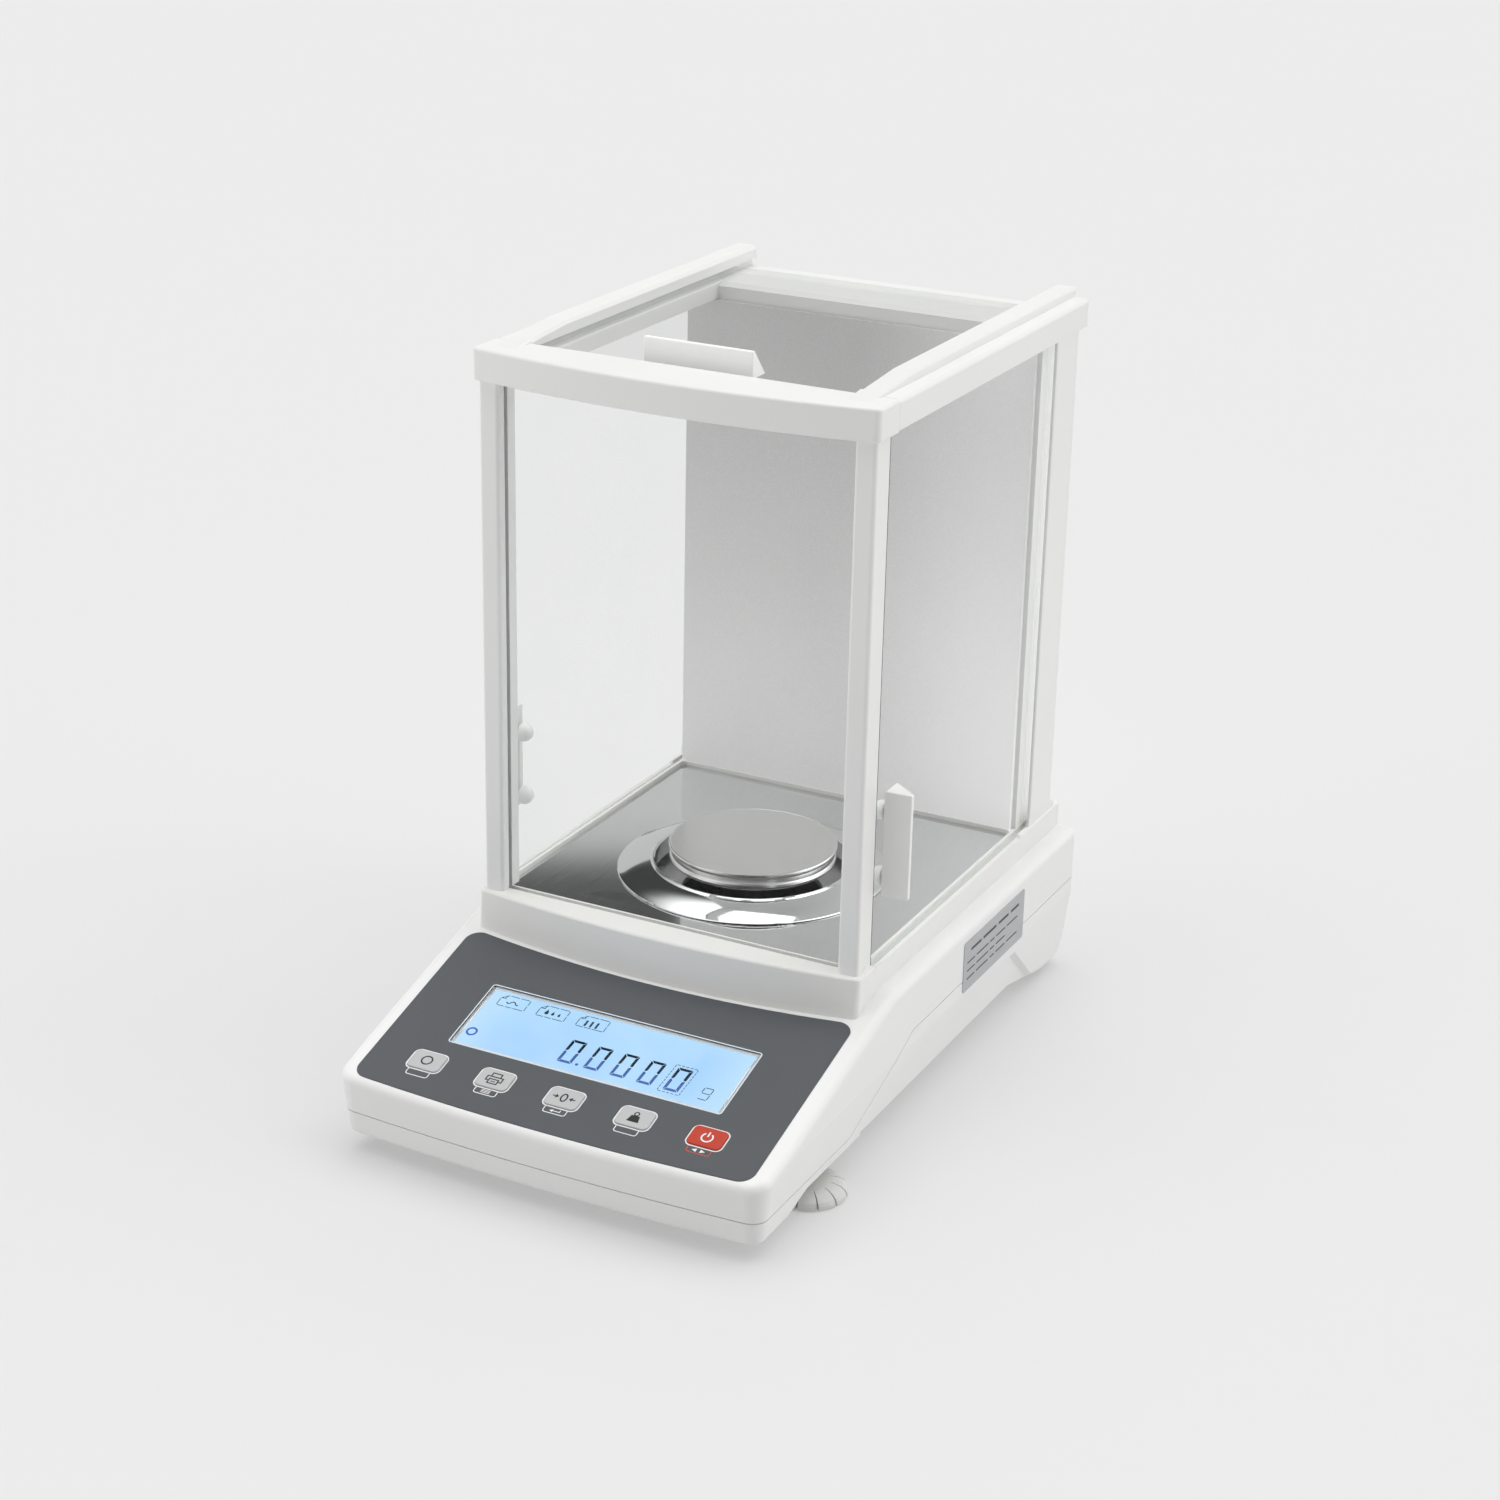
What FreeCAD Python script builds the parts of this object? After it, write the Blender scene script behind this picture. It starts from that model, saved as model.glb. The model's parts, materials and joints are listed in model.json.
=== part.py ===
# Analytical balance with a glass draught shield, built as separate pieces, in mm.
# Layout frame used while drawing: x = 0 on the centre plane, y = 0 at the front
# corners of the top frame, z = 0 on top of the chamber base frame. Each piece is
# shifted when it is saved: origin on the bench under the middle of the footprint,
# +X to the user's right, +Y to the back, +Z up.
import FreeCAD, Part
import math
import os

Vector = FreeCAD.Vector
X_AXIS, Y_AXIS, Z_AXIS = Vector(1, 0, 0), Vector(0, 1, 0), Vector(0, 0, 1)
os.makedirs("parts", exist_ok=True)

# ------------------------------------------------------------ driving sizes
BENCH_Z = -88.0
HALF_WIDTH = 107.5       # housing
FRONT_Y = -108.0         # front corners of the housing
BOW = 4.0                # forward bow of the front face
REAR_Y = 241.0
FRONT_CORNER_R = 10.0
REAR_CORNER_R = 7.5
WALL = 2.6
TAPER_Z = -46.5          # the sides run in below this height
TAPER_END_Z = -84.0
TAPER = 4.2              # how far they run in by TAPER_END_Z
DECK_Z = -13.0           # shoulder of the housing beside the chamber

SLOPE = math.radians(15.9)         # operating panel
PANEL_Y, PANEL_Z = -4.5, -19.6     # upper edge of the operating panel
RECESS = 0.8             # depth of the panel overlay
PROUD = 0.35             # overlay stands proud of the border by this

FRAME_HALF = 98.0        # half width of chamber base frame and top frame
BASE_REAR_Y = 236.0
BASE_BOW = 7.5           # forward bow of the chamber base frame
BASE_LEAN = 2.1          # its front stands this much further forward at the bottom
TOP_REAR_Y = 234.0
GLASS_X0, GLASS_X1 = 93.3, 95.9    # side door glass, inner and outer face
GROOVE_GAP = 0.15
GROOVE_X0, GROOVE_X1 = GLASS_X0 - GROOVE_GAP, GLASS_X1 + GROOVE_GAP
GROOVE_Y0 = 15.9         # front end of the door grooves
GROOVE_TOP_Z = 247.4

BAR_Z0, BAR_Z1 = 243.2, 257.8      # front bar of the top frame
BAR_REAR_Y = 19.5
RAIL_Z0, RAIL_Z1 = 244.2, 257.5    # side rails: underside and outer flange
RIDGE_Z = 261.8          # ridge of the side rails
RIDGE_FRONT_Z = 259.5    # its front end, where it runs out into the front bar
RAMP_Y = 50.0            # the ridge reaches full height here
RIDGE_X0, RIDGE_X1 = 79.2, 90.4
TOP_SILL_Z = 252.0       # ledge below the top glass

FRONT_GLASS_SLOT = (-88.3, 88.3, 7.0, 9.8)   # x0, x1, y0, y1

PAN_X, PAN_Y = 0.0, 88.0
PAN_TOP = 12.0
FOOT_X, FOOT_Y = 94.0, -38.0
LEVEL_X, LEVEL_Y = 62.0, 221.5
JACK_X, PORT_X, CONNECTOR_Z = -58.0, -20.0, -56.0


def pairs(*points):
    """Each (x, y) on the left, then on the right."""
    return [(side * x, y) for x, y in points for side in (-1, 1)]


HOUSING_SCREWS = pairs((97.0, -92.0), (95.0, 40.0), (72.0, 218.0))
POST_SCREWS = pairs((90.6, 11.6))
CHASSIS_SCREWS = pairs((25.0, 115.0), (25.0, 176.0))
REAR_FEET = pairs((88.0, 219.0))
TOP_CAPS = pairs((15.5, 31.0))               # top handle, x and y
SIDE_CAPS = [(31.3, 37.0), (31.3, 68.6)]     # side handles, y and z


# ------------------------------------------------------------ helpers
def box(x0, x1, y0, y1, z0, z1):
    return Part.makeBox(x1 - x0, y1 - y0, z1 - z0, Vector(x0, y0, z0))


def rod_x(y, z, x0, x1, radius):
    return Part.makeCylinder(radius, x1 - x0, Vector(x0, y, z), X_AXIS)


def rod_y(x, z, y0, y1, radius):
    return Part.makeCylinder(radius, y1 - y0, Vector(x, y0, z), Y_AXIS)


def rod_z(x, y, z0, z1, radius):
    return Part.makeCylinder(radius, z1 - z0, Vector(x, y, z0), Z_AXIS)


def closed(points):
    return Part.makePolygon(list(points) + [points[0]])


def face(points):
    return Part.Face(closed(points))


def prism_x(yz, x0, x1):
    return face([Vector(x0, y, z) for y, z in yz]).extrude(Vector(x1 - x0, 0, 0))


def prism_y(xz, y0, y1):
    return face([Vector(x, y0, z) for x, z in xz]).extrude(Vector(0, y1 - y0, 0))


def prism_z(xy, z0, z1):
    return face([Vector(x, y, z0) for x, y in xy]).extrude(Vector(0, 0, z1 - z0))


def turned(rz, x, y):
    """Turn (radius, z) points about the upright axis through x, y."""
    section = face([Vector(x + radius, y, z) for radius, z in rz])
    return section.revolve(Vector(x, y, 0), Z_AXIS, 360)


def line(start, end):
    return Part.LineSegment(start, end).toShape()


def arc(start, middle, end):
    return Part.Arc(start, middle, end).toShape()


def arc_radius(half_chord, rise):
    return (half_chord * half_chord + rise * rise) / (2 * rise)


def solid(shape):
    shape = shape.removeSplitter()
    if shape.ShapeType != "Solid" and len(shape.Solids) == 1:
        shape = shape.Solids[0]
    return shape


def fuse(first, *others):
    for other in others:
        first = first.fuse(other)
    return solid(first)


def fillet(shape, radius, test):
    """Round the edges that pass the test; a smaller radius if needed."""
    edges = [edge for edge in shape.Edges if test(edge)]
    if not edges:
        return shape
    for share in (1.0, 0.8, 0.6, 0.4):
        # guards against the kernel refusing a radius: the next smaller one is tried
        try:
            rounded = shape.makeFillet(radius * share, edges)
            if rounded.isValid() and abs(rounded.Volume) > 0.3 * abs(shape.Volume):
                return rounded
        except Exception:
            pass
    return shape


def along(edge, axis):
    if len(edge.Vertexes) < 2:
        return False
    direction = edge.Vertexes[1].Point - edge.Vertexes[0].Point
    direction.normalize()
    return abs(abs(direction.dot(axis)) - 1) < 1e-3


def upright(edge):
    return along(edge, Z_AXIS)


def mid(edge):
    return edge.CenterOfMass


def mirror(shape):
    return shape.mirror(Vector(0, 0, 0), X_AXIS)


def span(side, x0, x1):
    """x range on one side: side is 1 for right, -1 for left."""
    return sorted((side * x0, side * x1))


def rounded_box(x0, x1, y0, y1, z0, z1, radius):
    return fillet(box(x0, x1, y0, y1, z0, z1), radius, upright)


def place(shape, position, axis):
    """Copy with its z axis turned to the given axis."""
    placed = shape.copy()
    placed.Placement = FreeCAD.Placement(position, FreeCAD.Rotation(Z_AXIS, axis))
    return placed


def save(name, shape):
    piece = shape.copy()
    piece.translate(Vector(0, -(REAR_Y + FRONT_Y - BOW) / 2.0, -BENCH_Z))
    if not piece.isValid():
        piece.fix(0.01, 0.01, 0.01)
    piece.exportStep("parts/" + name + ".step")


# ------------------------------------------------------------ operating panel frame
# x, then t down the slope (y = -t), then w off the surface
PANEL = FreeCAD.Placement(Vector(0, PANEL_Y, PANEL_Z),
                          FreeCAD.Rotation(X_AXIS, math.degrees(SLOPE)))


def on_panel(shape):
    moved = shape.copy()
    moved.Placement = PANEL.multiply(moved.Placement)
    return moved


def panel_box(x0, x1, t0, t1, w0, w1, radius=0.0):
    block = box(x0, x1, -t1, -t0, w0, w1)
    if radius:
        block = fillet(block, radius, upright)
    return block


def panel_rod(x, t, w0, w1, radius):
    return rod_z(x, -t, w0, w1, radius)


def slope_z(y, w=0.0):
    """Height of the panel plane, moved w along its normal."""
    return PANEL_Z + math.tan(SLOPE) * (y - PANEL_Y) + w / math.cos(SLOPE)


def top_z(y):
    """Top of the housing."""
    return min(DECK_Z, slope_z(y, -PROUD))


# ------------------------------------------------------------ housing forms
BOW_R = arc_radius(HALF_WIDTH, BOW)
BOW_CENTRE_Y = FRONT_Y - BOW + BOW_R


def plan_wire(inset, z):
    """Plan outline of the housing moved in by inset."""
    half = HALF_WIDTH - inset
    front_r = BOW_R - inset
    corner_r = max(FRONT_CORNER_R - inset, 0.6)
    rear_r = max(REAR_CORNER_R - inset, 0.6)
    rear_y = REAR_Y - inset
    # front corner: centre, tangent point on the bow and middle of the corner arc
    corner_x = half - corner_r
    corner_y = BOW_CENTRE_Y - math.sqrt((front_r - corner_r) ** 2 - corner_x ** 2)
    unit_x = corner_x / (front_r - corner_r)
    unit_y = (corner_y - BOW_CENTRE_Y) / (front_r - corner_r)
    tangent_x, tangent_y = unit_x * front_r, BOW_CENTRE_Y + unit_y * front_r
    half_angle = math.atan2(unit_y, unit_x) / 2.0
    middle_x = corner_x + corner_r * math.cos(half_angle)
    middle_y = corner_y + corner_r * math.sin(half_angle)
    # rear corner
    rear_x = half - rear_r
    rear_start = rear_y - rear_r
    diagonal = rear_r * math.sqrt(0.5)

    def point(x, y):
        return Vector(x, y, z)

    return Part.Wire([
        line(point(half, rear_start), point(half, corner_y)),
        arc(point(half, corner_y), point(middle_x, middle_y), point(tangent_x, tangent_y)),
        arc(point(tangent_x, tangent_y), point(0, BOW_CENTRE_Y - front_r),
            point(-tangent_x, tangent_y)),
        arc(point(-tangent_x, tangent_y), point(-middle_x, middle_y), point(-half, corner_y)),
        line(point(-half, corner_y), point(-half, rear_start)),
        arc(point(-half, rear_start), point(-rear_x - diagonal, rear_start + diagonal),
            point(-rear_x, rear_y)),
        line(point(-rear_x, rear_y), point(rear_x, rear_y)),
        arc(point(rear_x, rear_y), point(rear_x + diagonal, rear_start + diagonal),
            point(half, rear_start)),
    ])


def plan_form(inset):
    """Plan outline as a body, straight above TAPER_Z and tapered below."""
    straight = Part.Face(plan_wire(inset, TAPER_Z)).extrude(Vector(0, 0, 60))
    ends = [plan_wire(inset, TAPER_Z), plan_wire(inset + TAPER, TAPER_END_Z)]
    return fuse(straight, Part.makeLoft(ends, True, True))


# underside of the housing from front to back: y, z
UNDERSIDE = [(-125.0, -79.4), (-76.0, -78.4), (-60.0, -73.4), (167.0, -73.4),
             (209.5, -83.2), (REAR_Y - 8.2, -83.2)]
# slope meets shoulder
SHOULDER_Y = PANEL_Y + (DECK_Z - PANEL_Z + PROUD) / math.tan(SLOPE)
# side profile, clockwise seen from the right: y, z
PROFILE = [(-125.0, slope_z(-125.0, -PROUD)), (SHOULDER_Y, DECK_Z), (REAR_Y - 2.9, DECK_Z),
           (REAR_Y, -63.0)] + UNDERSIDE[::-1]
CUT_HALF = 120.0         # half width of tools that pass both sides


def floor_out(y):
    """Underside of the lower housing."""
    for (y0, z0), (y1, z1) in zip(UNDERSIDE, UNDERSIDE[1:]):
        if y <= y1:
            return z0 + (z1 - z0) * (y - y0) / (y1 - y0)


def offset_poly(points, inset):
    """Move every side of a clockwise polygon inward."""

    def moved_side(start, end):
        dx, dy = end[0] - start[0], end[1] - start[1]
        length = math.hypot(dx, dy)
        dx, dy = dx / length, dy / length
        return start[0] + dy * inset, start[1] - dx * inset, dx, dy

    moved = []
    for k in range(len(points)):
        corner = points[k]
        ax, ay, adx, ady = moved_side(points[k - 1], corner)
        bx, by, bdx, bdy = moved_side(corner, points[(k + 1) % len(points)])
        reach = ((bx - ax) * bdy - (by - ay) * bdx) / (adx * bdy - ady * bdx)
        moved.append((ax + adx * reach, ay + ady * reach))
    return moved


def profile_form(inset, radius):
    """Side profile as a body, rounded where the slope meets the shoulder."""
    points = offset_poly(PROFILE, inset) if inset else PROFILE
    y, z = points[1]
    return fillet(prism_x(points, -CUT_HALF, CUT_HALF), radius,
                  lambda edge: along(edge, X_AXIS)
                  and abs(mid(edge).y - y) < 0.1 and abs(mid(edge).z - z) < 0.1)


def is_top_edge(edge):
    centre = mid(edge)
    return centre.z > top_z(centre.y) - 0.9 and (
        abs(centre.x) > HALF_WIDTH - FRONT_CORNER_R - 0.5
        or centre.y < FRONT_Y + 1 or centre.y > 232)


def is_bottom_edge(edge):
    centre = mid(edge)
    return ((abs(centre.x) > 98 or centre.y < -100) and not upright(edge)
            and not along(edge, X_AXIS) and abs(centre.z + 78.9) < 6.5)


outer = solid(plan_form(0).common(profile_form(0, 26.0)))
outer = fillet(outer, 5.4, is_top_edge)
outer = fillet(outer, 3.0, is_bottom_edge)
inner = solid(plan_form(WALL).common(profile_form(WALL, 23.0)))
shell = outer.cut(inner)

# parting line between upper and lower housing: y, z
PARTING = [(-130.0, -67.0), (-20.0, -67.0), (40.0, -39.5), (250.0, -39.5)]


def above_parting(raised):
    return prism_x([(y, z + raised) for y, z in PARTING] + [(250.0, 60.0), (-130.0, 60.0)],
                   -130, 130)


def slab(y0, y1, z0, z1):
    """Block across the whole width."""
    return prism_x([(y0, z0), (y0, z1), (y1, z1), (y1, z0)], -CUT_HALF, CUT_HALF)


# ------------------------------------------------------------ overlay outline
# rounded quadrilateral; the upper edge dips down the slope in the middle
OVERLAY_HALF, OVERLAY_R = 99.2, 7.0
OVERLAY_T0, OVERLAY_T1 = -0.8, 104.8
TOP_BULGE, LOW_BULGE = 7.3, 3.4


def overlay_outline(growth, w):
    half = OVERLAY_HALF + growth
    top_r = arc_radius(OVERLAY_HALF, TOP_BULGE)
    low_r = arc_radius(OVERLAY_HALF, LOW_BULGE)
    top_centre = -(OVERLAY_T0 + TOP_BULGE) + top_r
    low_centre = -(OVERLAY_T1 + LOW_BULGE) + low_r
    top_r -= growth
    low_r += growth
    top_y = top_centre - math.sqrt(top_r ** 2 - half ** 2)
    low_y = low_centre - math.sqrt(low_r ** 2 - half ** 2)
    top_left, top_right = Vector(-half, top_y, w), Vector(half, top_y, w)
    low_left, low_right = Vector(-half, low_y, w), Vector(half, low_y, w)
    return Part.Wire([
        arc(top_left, Vector(0, top_centre - top_r, w), top_right),
        line(top_right, low_right),
        arc(low_right, Vector(0, low_centre - low_r, w), low_left),
        line(low_left, top_left),
    ])


def overlay_prism(growth, w0, w1):
    body = Part.Face(overlay_outline(growth, w0)).extrude(Vector(0, 0, w1 - w0))
    return fillet(body, OVERLAY_R + growth, upright)


# ------------------------------------------------------------ display and keys
WINDOW_HALF, WINDOW_T0, WINDOW_T1 = 68.5, 31.2, 71.5
OPENING_HALF = WINDOW_HALF - 1.7             # opening in the housing below the window
OPENING_T0, OPENING_T1 = WINDOW_T0 + 1.4, WINDOW_T1 - 1.4
KEY_PITCH = 35.2
KEY_NAMES = ["key_off", "key_print", "key_tare", "key_cal", "key_on"]
KEY_X = [KEY_PITCH * (k - 2) for k in range(len(KEY_NAMES))]
KEY_T = 86.8
KEY_HALF_W, KEY_HALF_H = 16.3 / 2, 11.3 / 2
KEY_GAP = 0.15
FLANGE_W0, FLANGE_W1 = -4.6, -3.4
DISPLAY_BOSSES = pairs((84, 27), (84, 96))   # x, t
BOARD_W0, BOARD_W1 = -11.6, -10.0            # display board


def key_block(x, half_w, half_h, w0, w1, radius=0.0):
    return panel_box(x - half_w, x + half_w, KEY_T - half_h, KEY_T + half_h, w0, w1, radius)


def keypad_overlay():
    overlay = overlay_prism(0, -RECESS, 0.0)
    overlay = fillet(overlay, 0.3, lambda edge: mid(edge).z > -0.01)
    overlay = overlay.cut(panel_box(-WINDOW_HALF, WINDOW_HALF, WINDOW_T0, WINDOW_T1, -2, 1, 1.2))
    for x in KEY_X:
        overlay = overlay.cut(key_block(x, KEY_HALF_W + KEY_GAP, KEY_HALF_H + KEY_GAP,
                                        -2, 1, 2.55))
    return overlay


def display_window(gap=0.06):
    return panel_box(-WINDOW_HALF + gap, WINDOW_HALF - gap, WINDOW_T0 + gap, WINDOW_T1 - gap,
                     -RECESS, -0.12, 1.1)


def lcd_panel(gap=0.2):
    return panel_box(-OPENING_HALF + gap, OPENING_HALF - gap,
                     OPENING_T0 + gap, OPENING_T1 - gap, -3.0, -0.95)


def lcd_backlight():
    return fuse(panel_box(-70, 70, 29.5, 73.0, -9.95, -3.45),
                panel_box(-64, 64, 35.0, 67.5, -3.45, -3.02))


def key(x):
    cap = key_block(x, KEY_HALF_W, KEY_HALF_H, FLANGE_W1, 0.75, 2.4)
    cap = fillet(cap, 0.45, lambda edge: mid(edge).z > 0.74)
    flange = key_block(x, 9.6, 7.1, FLANGE_W0, FLANGE_W1, 2.5)
    return fuse(cap, flange, panel_rod(x, KEY_T, -6.1, FLANGE_W0, 2.0))


def display_board():
    board = panel_box(-89.0, 89.0, 23.0, 100.0, BOARD_W0, BOARD_W1, 2.0)
    for x, t in DISPLAY_BOSSES:
        board = board.cut(panel_rod(x, t, -13, -9, 1.4))
    driver = panel_box(-12, 12, 40, 58, -13.4, BOARD_W0)
    connector = panel_box(-80, -66, 80, 85, -17.0, BOARD_W0)
    return fuse(board, driver, connector)


def key_switch(x):
    return fuse(key_block(x, 3, 3, BOARD_W1, -7.2), panel_rod(x, KEY_T, -7.2, -6.6, 1.7))


save("keypad_overlay", on_panel(keypad_overlay()))
save("display_window", on_panel(display_window()))
save("lcd_panel", on_panel(lcd_panel()))
save("lcd_backlight", on_panel(lcd_backlight()))
for name, x in zip(KEY_NAMES, KEY_X):
    save(name, on_panel(key(x)))
save("display_board", on_panel(display_board()))
save("key_switches", Part.makeCompound([on_panel(key_switch(x)) for x in KEY_X]))


# ------------------------------------------------------------ upper housing
def upper_housing():
    upper = solid(shell.common(above_parting(0)))
    bosses = []
    for x, y in HOUSING_SCREWS:
        boss = rod_z(x, y, floor_out(y) + WALL, top_z(y) - 1.5, 4.0)
        bosses.append(boss.common(inner))
    upper = fuse(upper, *bosses)
    # ribs that tie the bosses to the side walls
    for x, y in HOUSING_SCREWS:
        x0, x1 = sorted((x, math.copysign(106, x)))
        rib = box(x0, x1, y - 1, y + 1, max(floor_out(y) + WALL, -66) + 8, top_z(y) - 1.5)
        upper = fuse(upper, rib.common(inner).common(above_parting(1)))
    # display board bosses with locating pins
    for x, t in DISPLAY_BOSSES:
        boss = on_panel(panel_rod(x, t, BOARD_W1, -2.8, 3.0))
        pin = on_panel(panel_rod(x, t, -12.6, -9.0, 1.3))
        upper = fuse(upper, boss, pin)
    # pilot holes
    for x, y in HOUSING_SCREWS:
        floor_in = floor_out(y) + WALL
        upper = upper.cut(rod_z(x, y, floor_in - 5, floor_in + 11.0, 1.5))
    # overlay recess, display opening and key openings
    upper = upper.cut(on_panel(overlay_prism(0.1, -RECESS, 2.0)))
    upper = upper.cut(on_panel(panel_box(-OPENING_HALF, OPENING_HALF,
                                         OPENING_T0, OPENING_T1, -6, 0)))
    for x in KEY_X:
        upper = upper.cut(on_panel(key_block(x, 8.5, 6.0, -6, 0, 2.8)))
    # openings in the deck: pan well and post screws
    upper = upper.cut(rod_z(PAN_X, PAN_Y, -30, 0, 34.0))
    for x, y in POST_SCREWS:
        upper = upper.cut(rod_z(x, y, -40, 0, 2.2))
    return solid(upper)


save("upper_housing", upper_housing())

# ------------------------------------------------------------ lower housing
# hand grip in each side of the lower housing, clockwise seen from the right: y, z
GRIP = [(-10.0, -120.0), (-10.0, -63.7), (20.0, -56.0), (69.0, -51.0), (122.0, -50.5),
        (163.0, -52.0), (230.0, -99.7), (230.0, -120.0)]


def grip_tool(side, inset):
    """Grip outline with sloping ends, wider towards the outside."""
    ends = []
    for x, end_inset in ((112.0, inset - 5.0), (100.0, inset + 7.0)):
        ends.append(closed([Vector(side * x, y, z) for y, z in offset_poly(GRIP, end_inset)]))
    return Part.makeLoft(ends, True, True)


def grooved_rim(lower):
    """Shadow gap of the parting line: a narrow rebate in the rim."""
    rebate = outer.cut(solid(plan_form(0.9).common(slab(-125, REAR_Y - 1.2, -100, 40))))
    return lower.cut(rebate.common(above_parting(-0.55).cut(above_parting(0))))


def with_grips(lower):
    """Thicken the wall behind each grip, then sink the grip into it."""
    below = slab(-130, 260, -110, 40).cut(above_parting(0))
    thick_ring = plan_form(0.5).cut(plan_form(4.9)).common(outer).common(below)
    deep_ring = outer.cut(plan_form(2.3).common(slab(-125, 250, -100, 40)))
    for side in (1, -1):
        lower = fuse(lower, thick_ring.common(grip_tool(side, -3.0)))
        lower = lower.cut(deep_ring.common(grip_tool(side, 0.0)))
    return solid(lower)


def lower_housing():
    lower = with_grips(grooved_rim(shell.cut(above_parting(0))))
    # screw bosses with counterbores
    for x, y in HOUSING_SCREWS:
        floor_z = floor_out(y)
        floor_in = floor_z + WALL
        lower = fuse(lower, rod_z(x, y, floor_z + 0.3, floor_in, 5.5).common(outer))
        lower = lower.cut(rod_z(x, y, floor_z - 8, floor_z + 1.4, 3.3))
        lower = lower.cut(rod_z(x, y, floor_z - 8, floor_in + 1, 1.7))
    # posts under the chassis plate
    for x, y in pairs((56, 46), (56, 190)):
        floor_z = floor_out(y)
        lower = fuse(lower, rod_z(x, y, floor_z + 1.0, CHASSIS_Z, 5.0).cut(
            rod_z(x, y, -100, floor_z + 1.2, 6)))
    # posts under the main board
    for y in (72.0, 192.5):
        for x in (-95.0, -70.0):
            lower = fuse(lower, rod_z(x, y, floor_out(y) + 1.0, MAIN_BOARD_Z0, 3.0))
    # bosses for the inserts of the levelling feet
    for side in (1, -1):
        lower = fuse(lower, rod_z(side * FOOT_X, FOOT_Y, -73.0, -57.0, 8.4))
        lower = lower.cut(rod_z(side * FOOT_X, FOOT_Y, -80, -50, 6.0))
    # rear connectors
    lower = lower.cut(rod_y(JACK_X, CONNECTOR_Z, 225, 250, 5.6))
    lower = lower.cut(box(PORT_X - 15.6, PORT_X + 15.6, 225, 250,
                          CONNECTOR_Z - 6.4, CONNECTOR_Z + 6.4))
    # seats of the rear rubber feet
    for x, y in REAR_FEET:
        lower = lower.cut(rod_z(x, y, -90, -82.2, 8.1))
    # vents in the floor
    for k in range(6):
        lower = lower.cut(box(-20, 20, 120 + 8 * k, 122.4 + 8 * k, -80, -70))
    return solid(lower)


CHASSIS_Z = -68.0                            # underside of the chassis plate
MAIN_BOARD_Z0, MAIN_BOARD_Z1 = -66.4, -64.8
save("lower_housing", lower_housing())


# ------------------------------------------------------------ chamber base frame
def bowed_prism(bow, rear_y, z0, z1, front_radius, rear_radius, front_y=0.0):
    """Block as wide as the frame, with a bowed front."""
    front_left, front_right = Vector(-FRAME_HALF, front_y, z0), Vector(FRAME_HALF, front_y, z0)
    rear_left, rear_right = Vector(-FRAME_HALF, rear_y, z0), Vector(FRAME_HALF, rear_y, z0)
    outline = Part.Wire([arc(front_left, Vector(0, front_y - bow, z0), front_right),
                         line(front_right, rear_right),
                         line(rear_right, rear_left),
                         line(rear_left, front_left)])
    body = Part.Face(outline).extrude(Vector(0, 0, z1 - z0))
    body = fillet(body, front_radius, lambda edge: upright(edge) and mid(edge).y < front_y + 1)
    return fillet(body, rear_radius, lambda edge: upright(edge) and mid(edge).y > front_y + 1)


def end_wire(shape, z):
    """Outline of the flat face at height z."""
    flats = [side for side in shape.Faces
             if abs(side.BoundBox.ZMax - z) < 1e-6 and abs(side.BoundBox.ZMin - z) < 1e-6]
    return flats[0].OuterWire


def chamber_base_frame():
    # the bowed front leans out a little towards the panel
    low = bowed_prism(BASE_BOW, BASE_REAR_Y, -30.0, -20.0, 3.0, 1.6, -BASE_LEAN)
    top = bowed_prism(BASE_BOW, BASE_REAR_Y, -5.0, 0.0, 3.0, 1.6)
    frame = solid(Part.makeLoft([end_wire(low, -30.0), end_wire(top, 0.0)], True, True))
    frame = fillet(frame, 1.5, lambda edge: mid(edge).z > -0.01)
    frame = solid(frame.cut(outer))
    # mould relief under the plate, leaving a wall round the pan well and two ribs
    pocket = box(-89, 89, 24, 182, -20, -5.6).cut(rod_z(PAN_X, PAN_Y, -21, 0, 67.0))
    pocket = pocket.cut(box(-2, 2, 20, 190, -21, 0)).cut(box(-89, 89, 86, 90, -21, 0))
    frame = frame.cut(pocket)
    # seat of the floor plate and well under the draught ring
    frame = frame.cut(rounded_box(-91.7, 91.7, 10.9, 187.1, -3.0, 1.0, 3.0))
    frame = frame.cut(rod_z(PAN_X, PAN_Y, -30, 0, 62.6))
    # door grooves and the lowered outer lip beside each door
    lip = [(16.2, 1.0), (16.2, -1.5), (183.6, -1.5), (185.4, 1.0)]
    for side in (1, -1):
        frame = frame.cut(box(*span(side, GROOVE_X0, GROOVE_X1), GROOVE_Y0, 240, -1.7, 1))
        frame = frame.cut(prism_x(lip, *span(side, GROOVE_X1, 99)))
    # plinths under the rear posts
    plinth = [(196.0, -0.5), (196.0, 4.4), (224.4, 4.4), (229.2, 1.2), (229.6, -0.5)]
    for side in (1, -1):
        frame = fuse(frame, prism_x(plinth, *span(side, GROOVE_X1, 97.4)))
    frame = frame.cut(box(*FRONT_GLASS_SLOT, -1.6, 1))
    for x, y in POST_SCREWS:
        frame = frame.cut(rod_z(x, y, -40, 1, 2.2))
    frame = frame.cut(rod_z(LEVEL_X, LEVEL_Y, -6.0, 1, 8.1))
    return solid(frame)


save("chamber_base_frame", chamber_base_frame())


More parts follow.
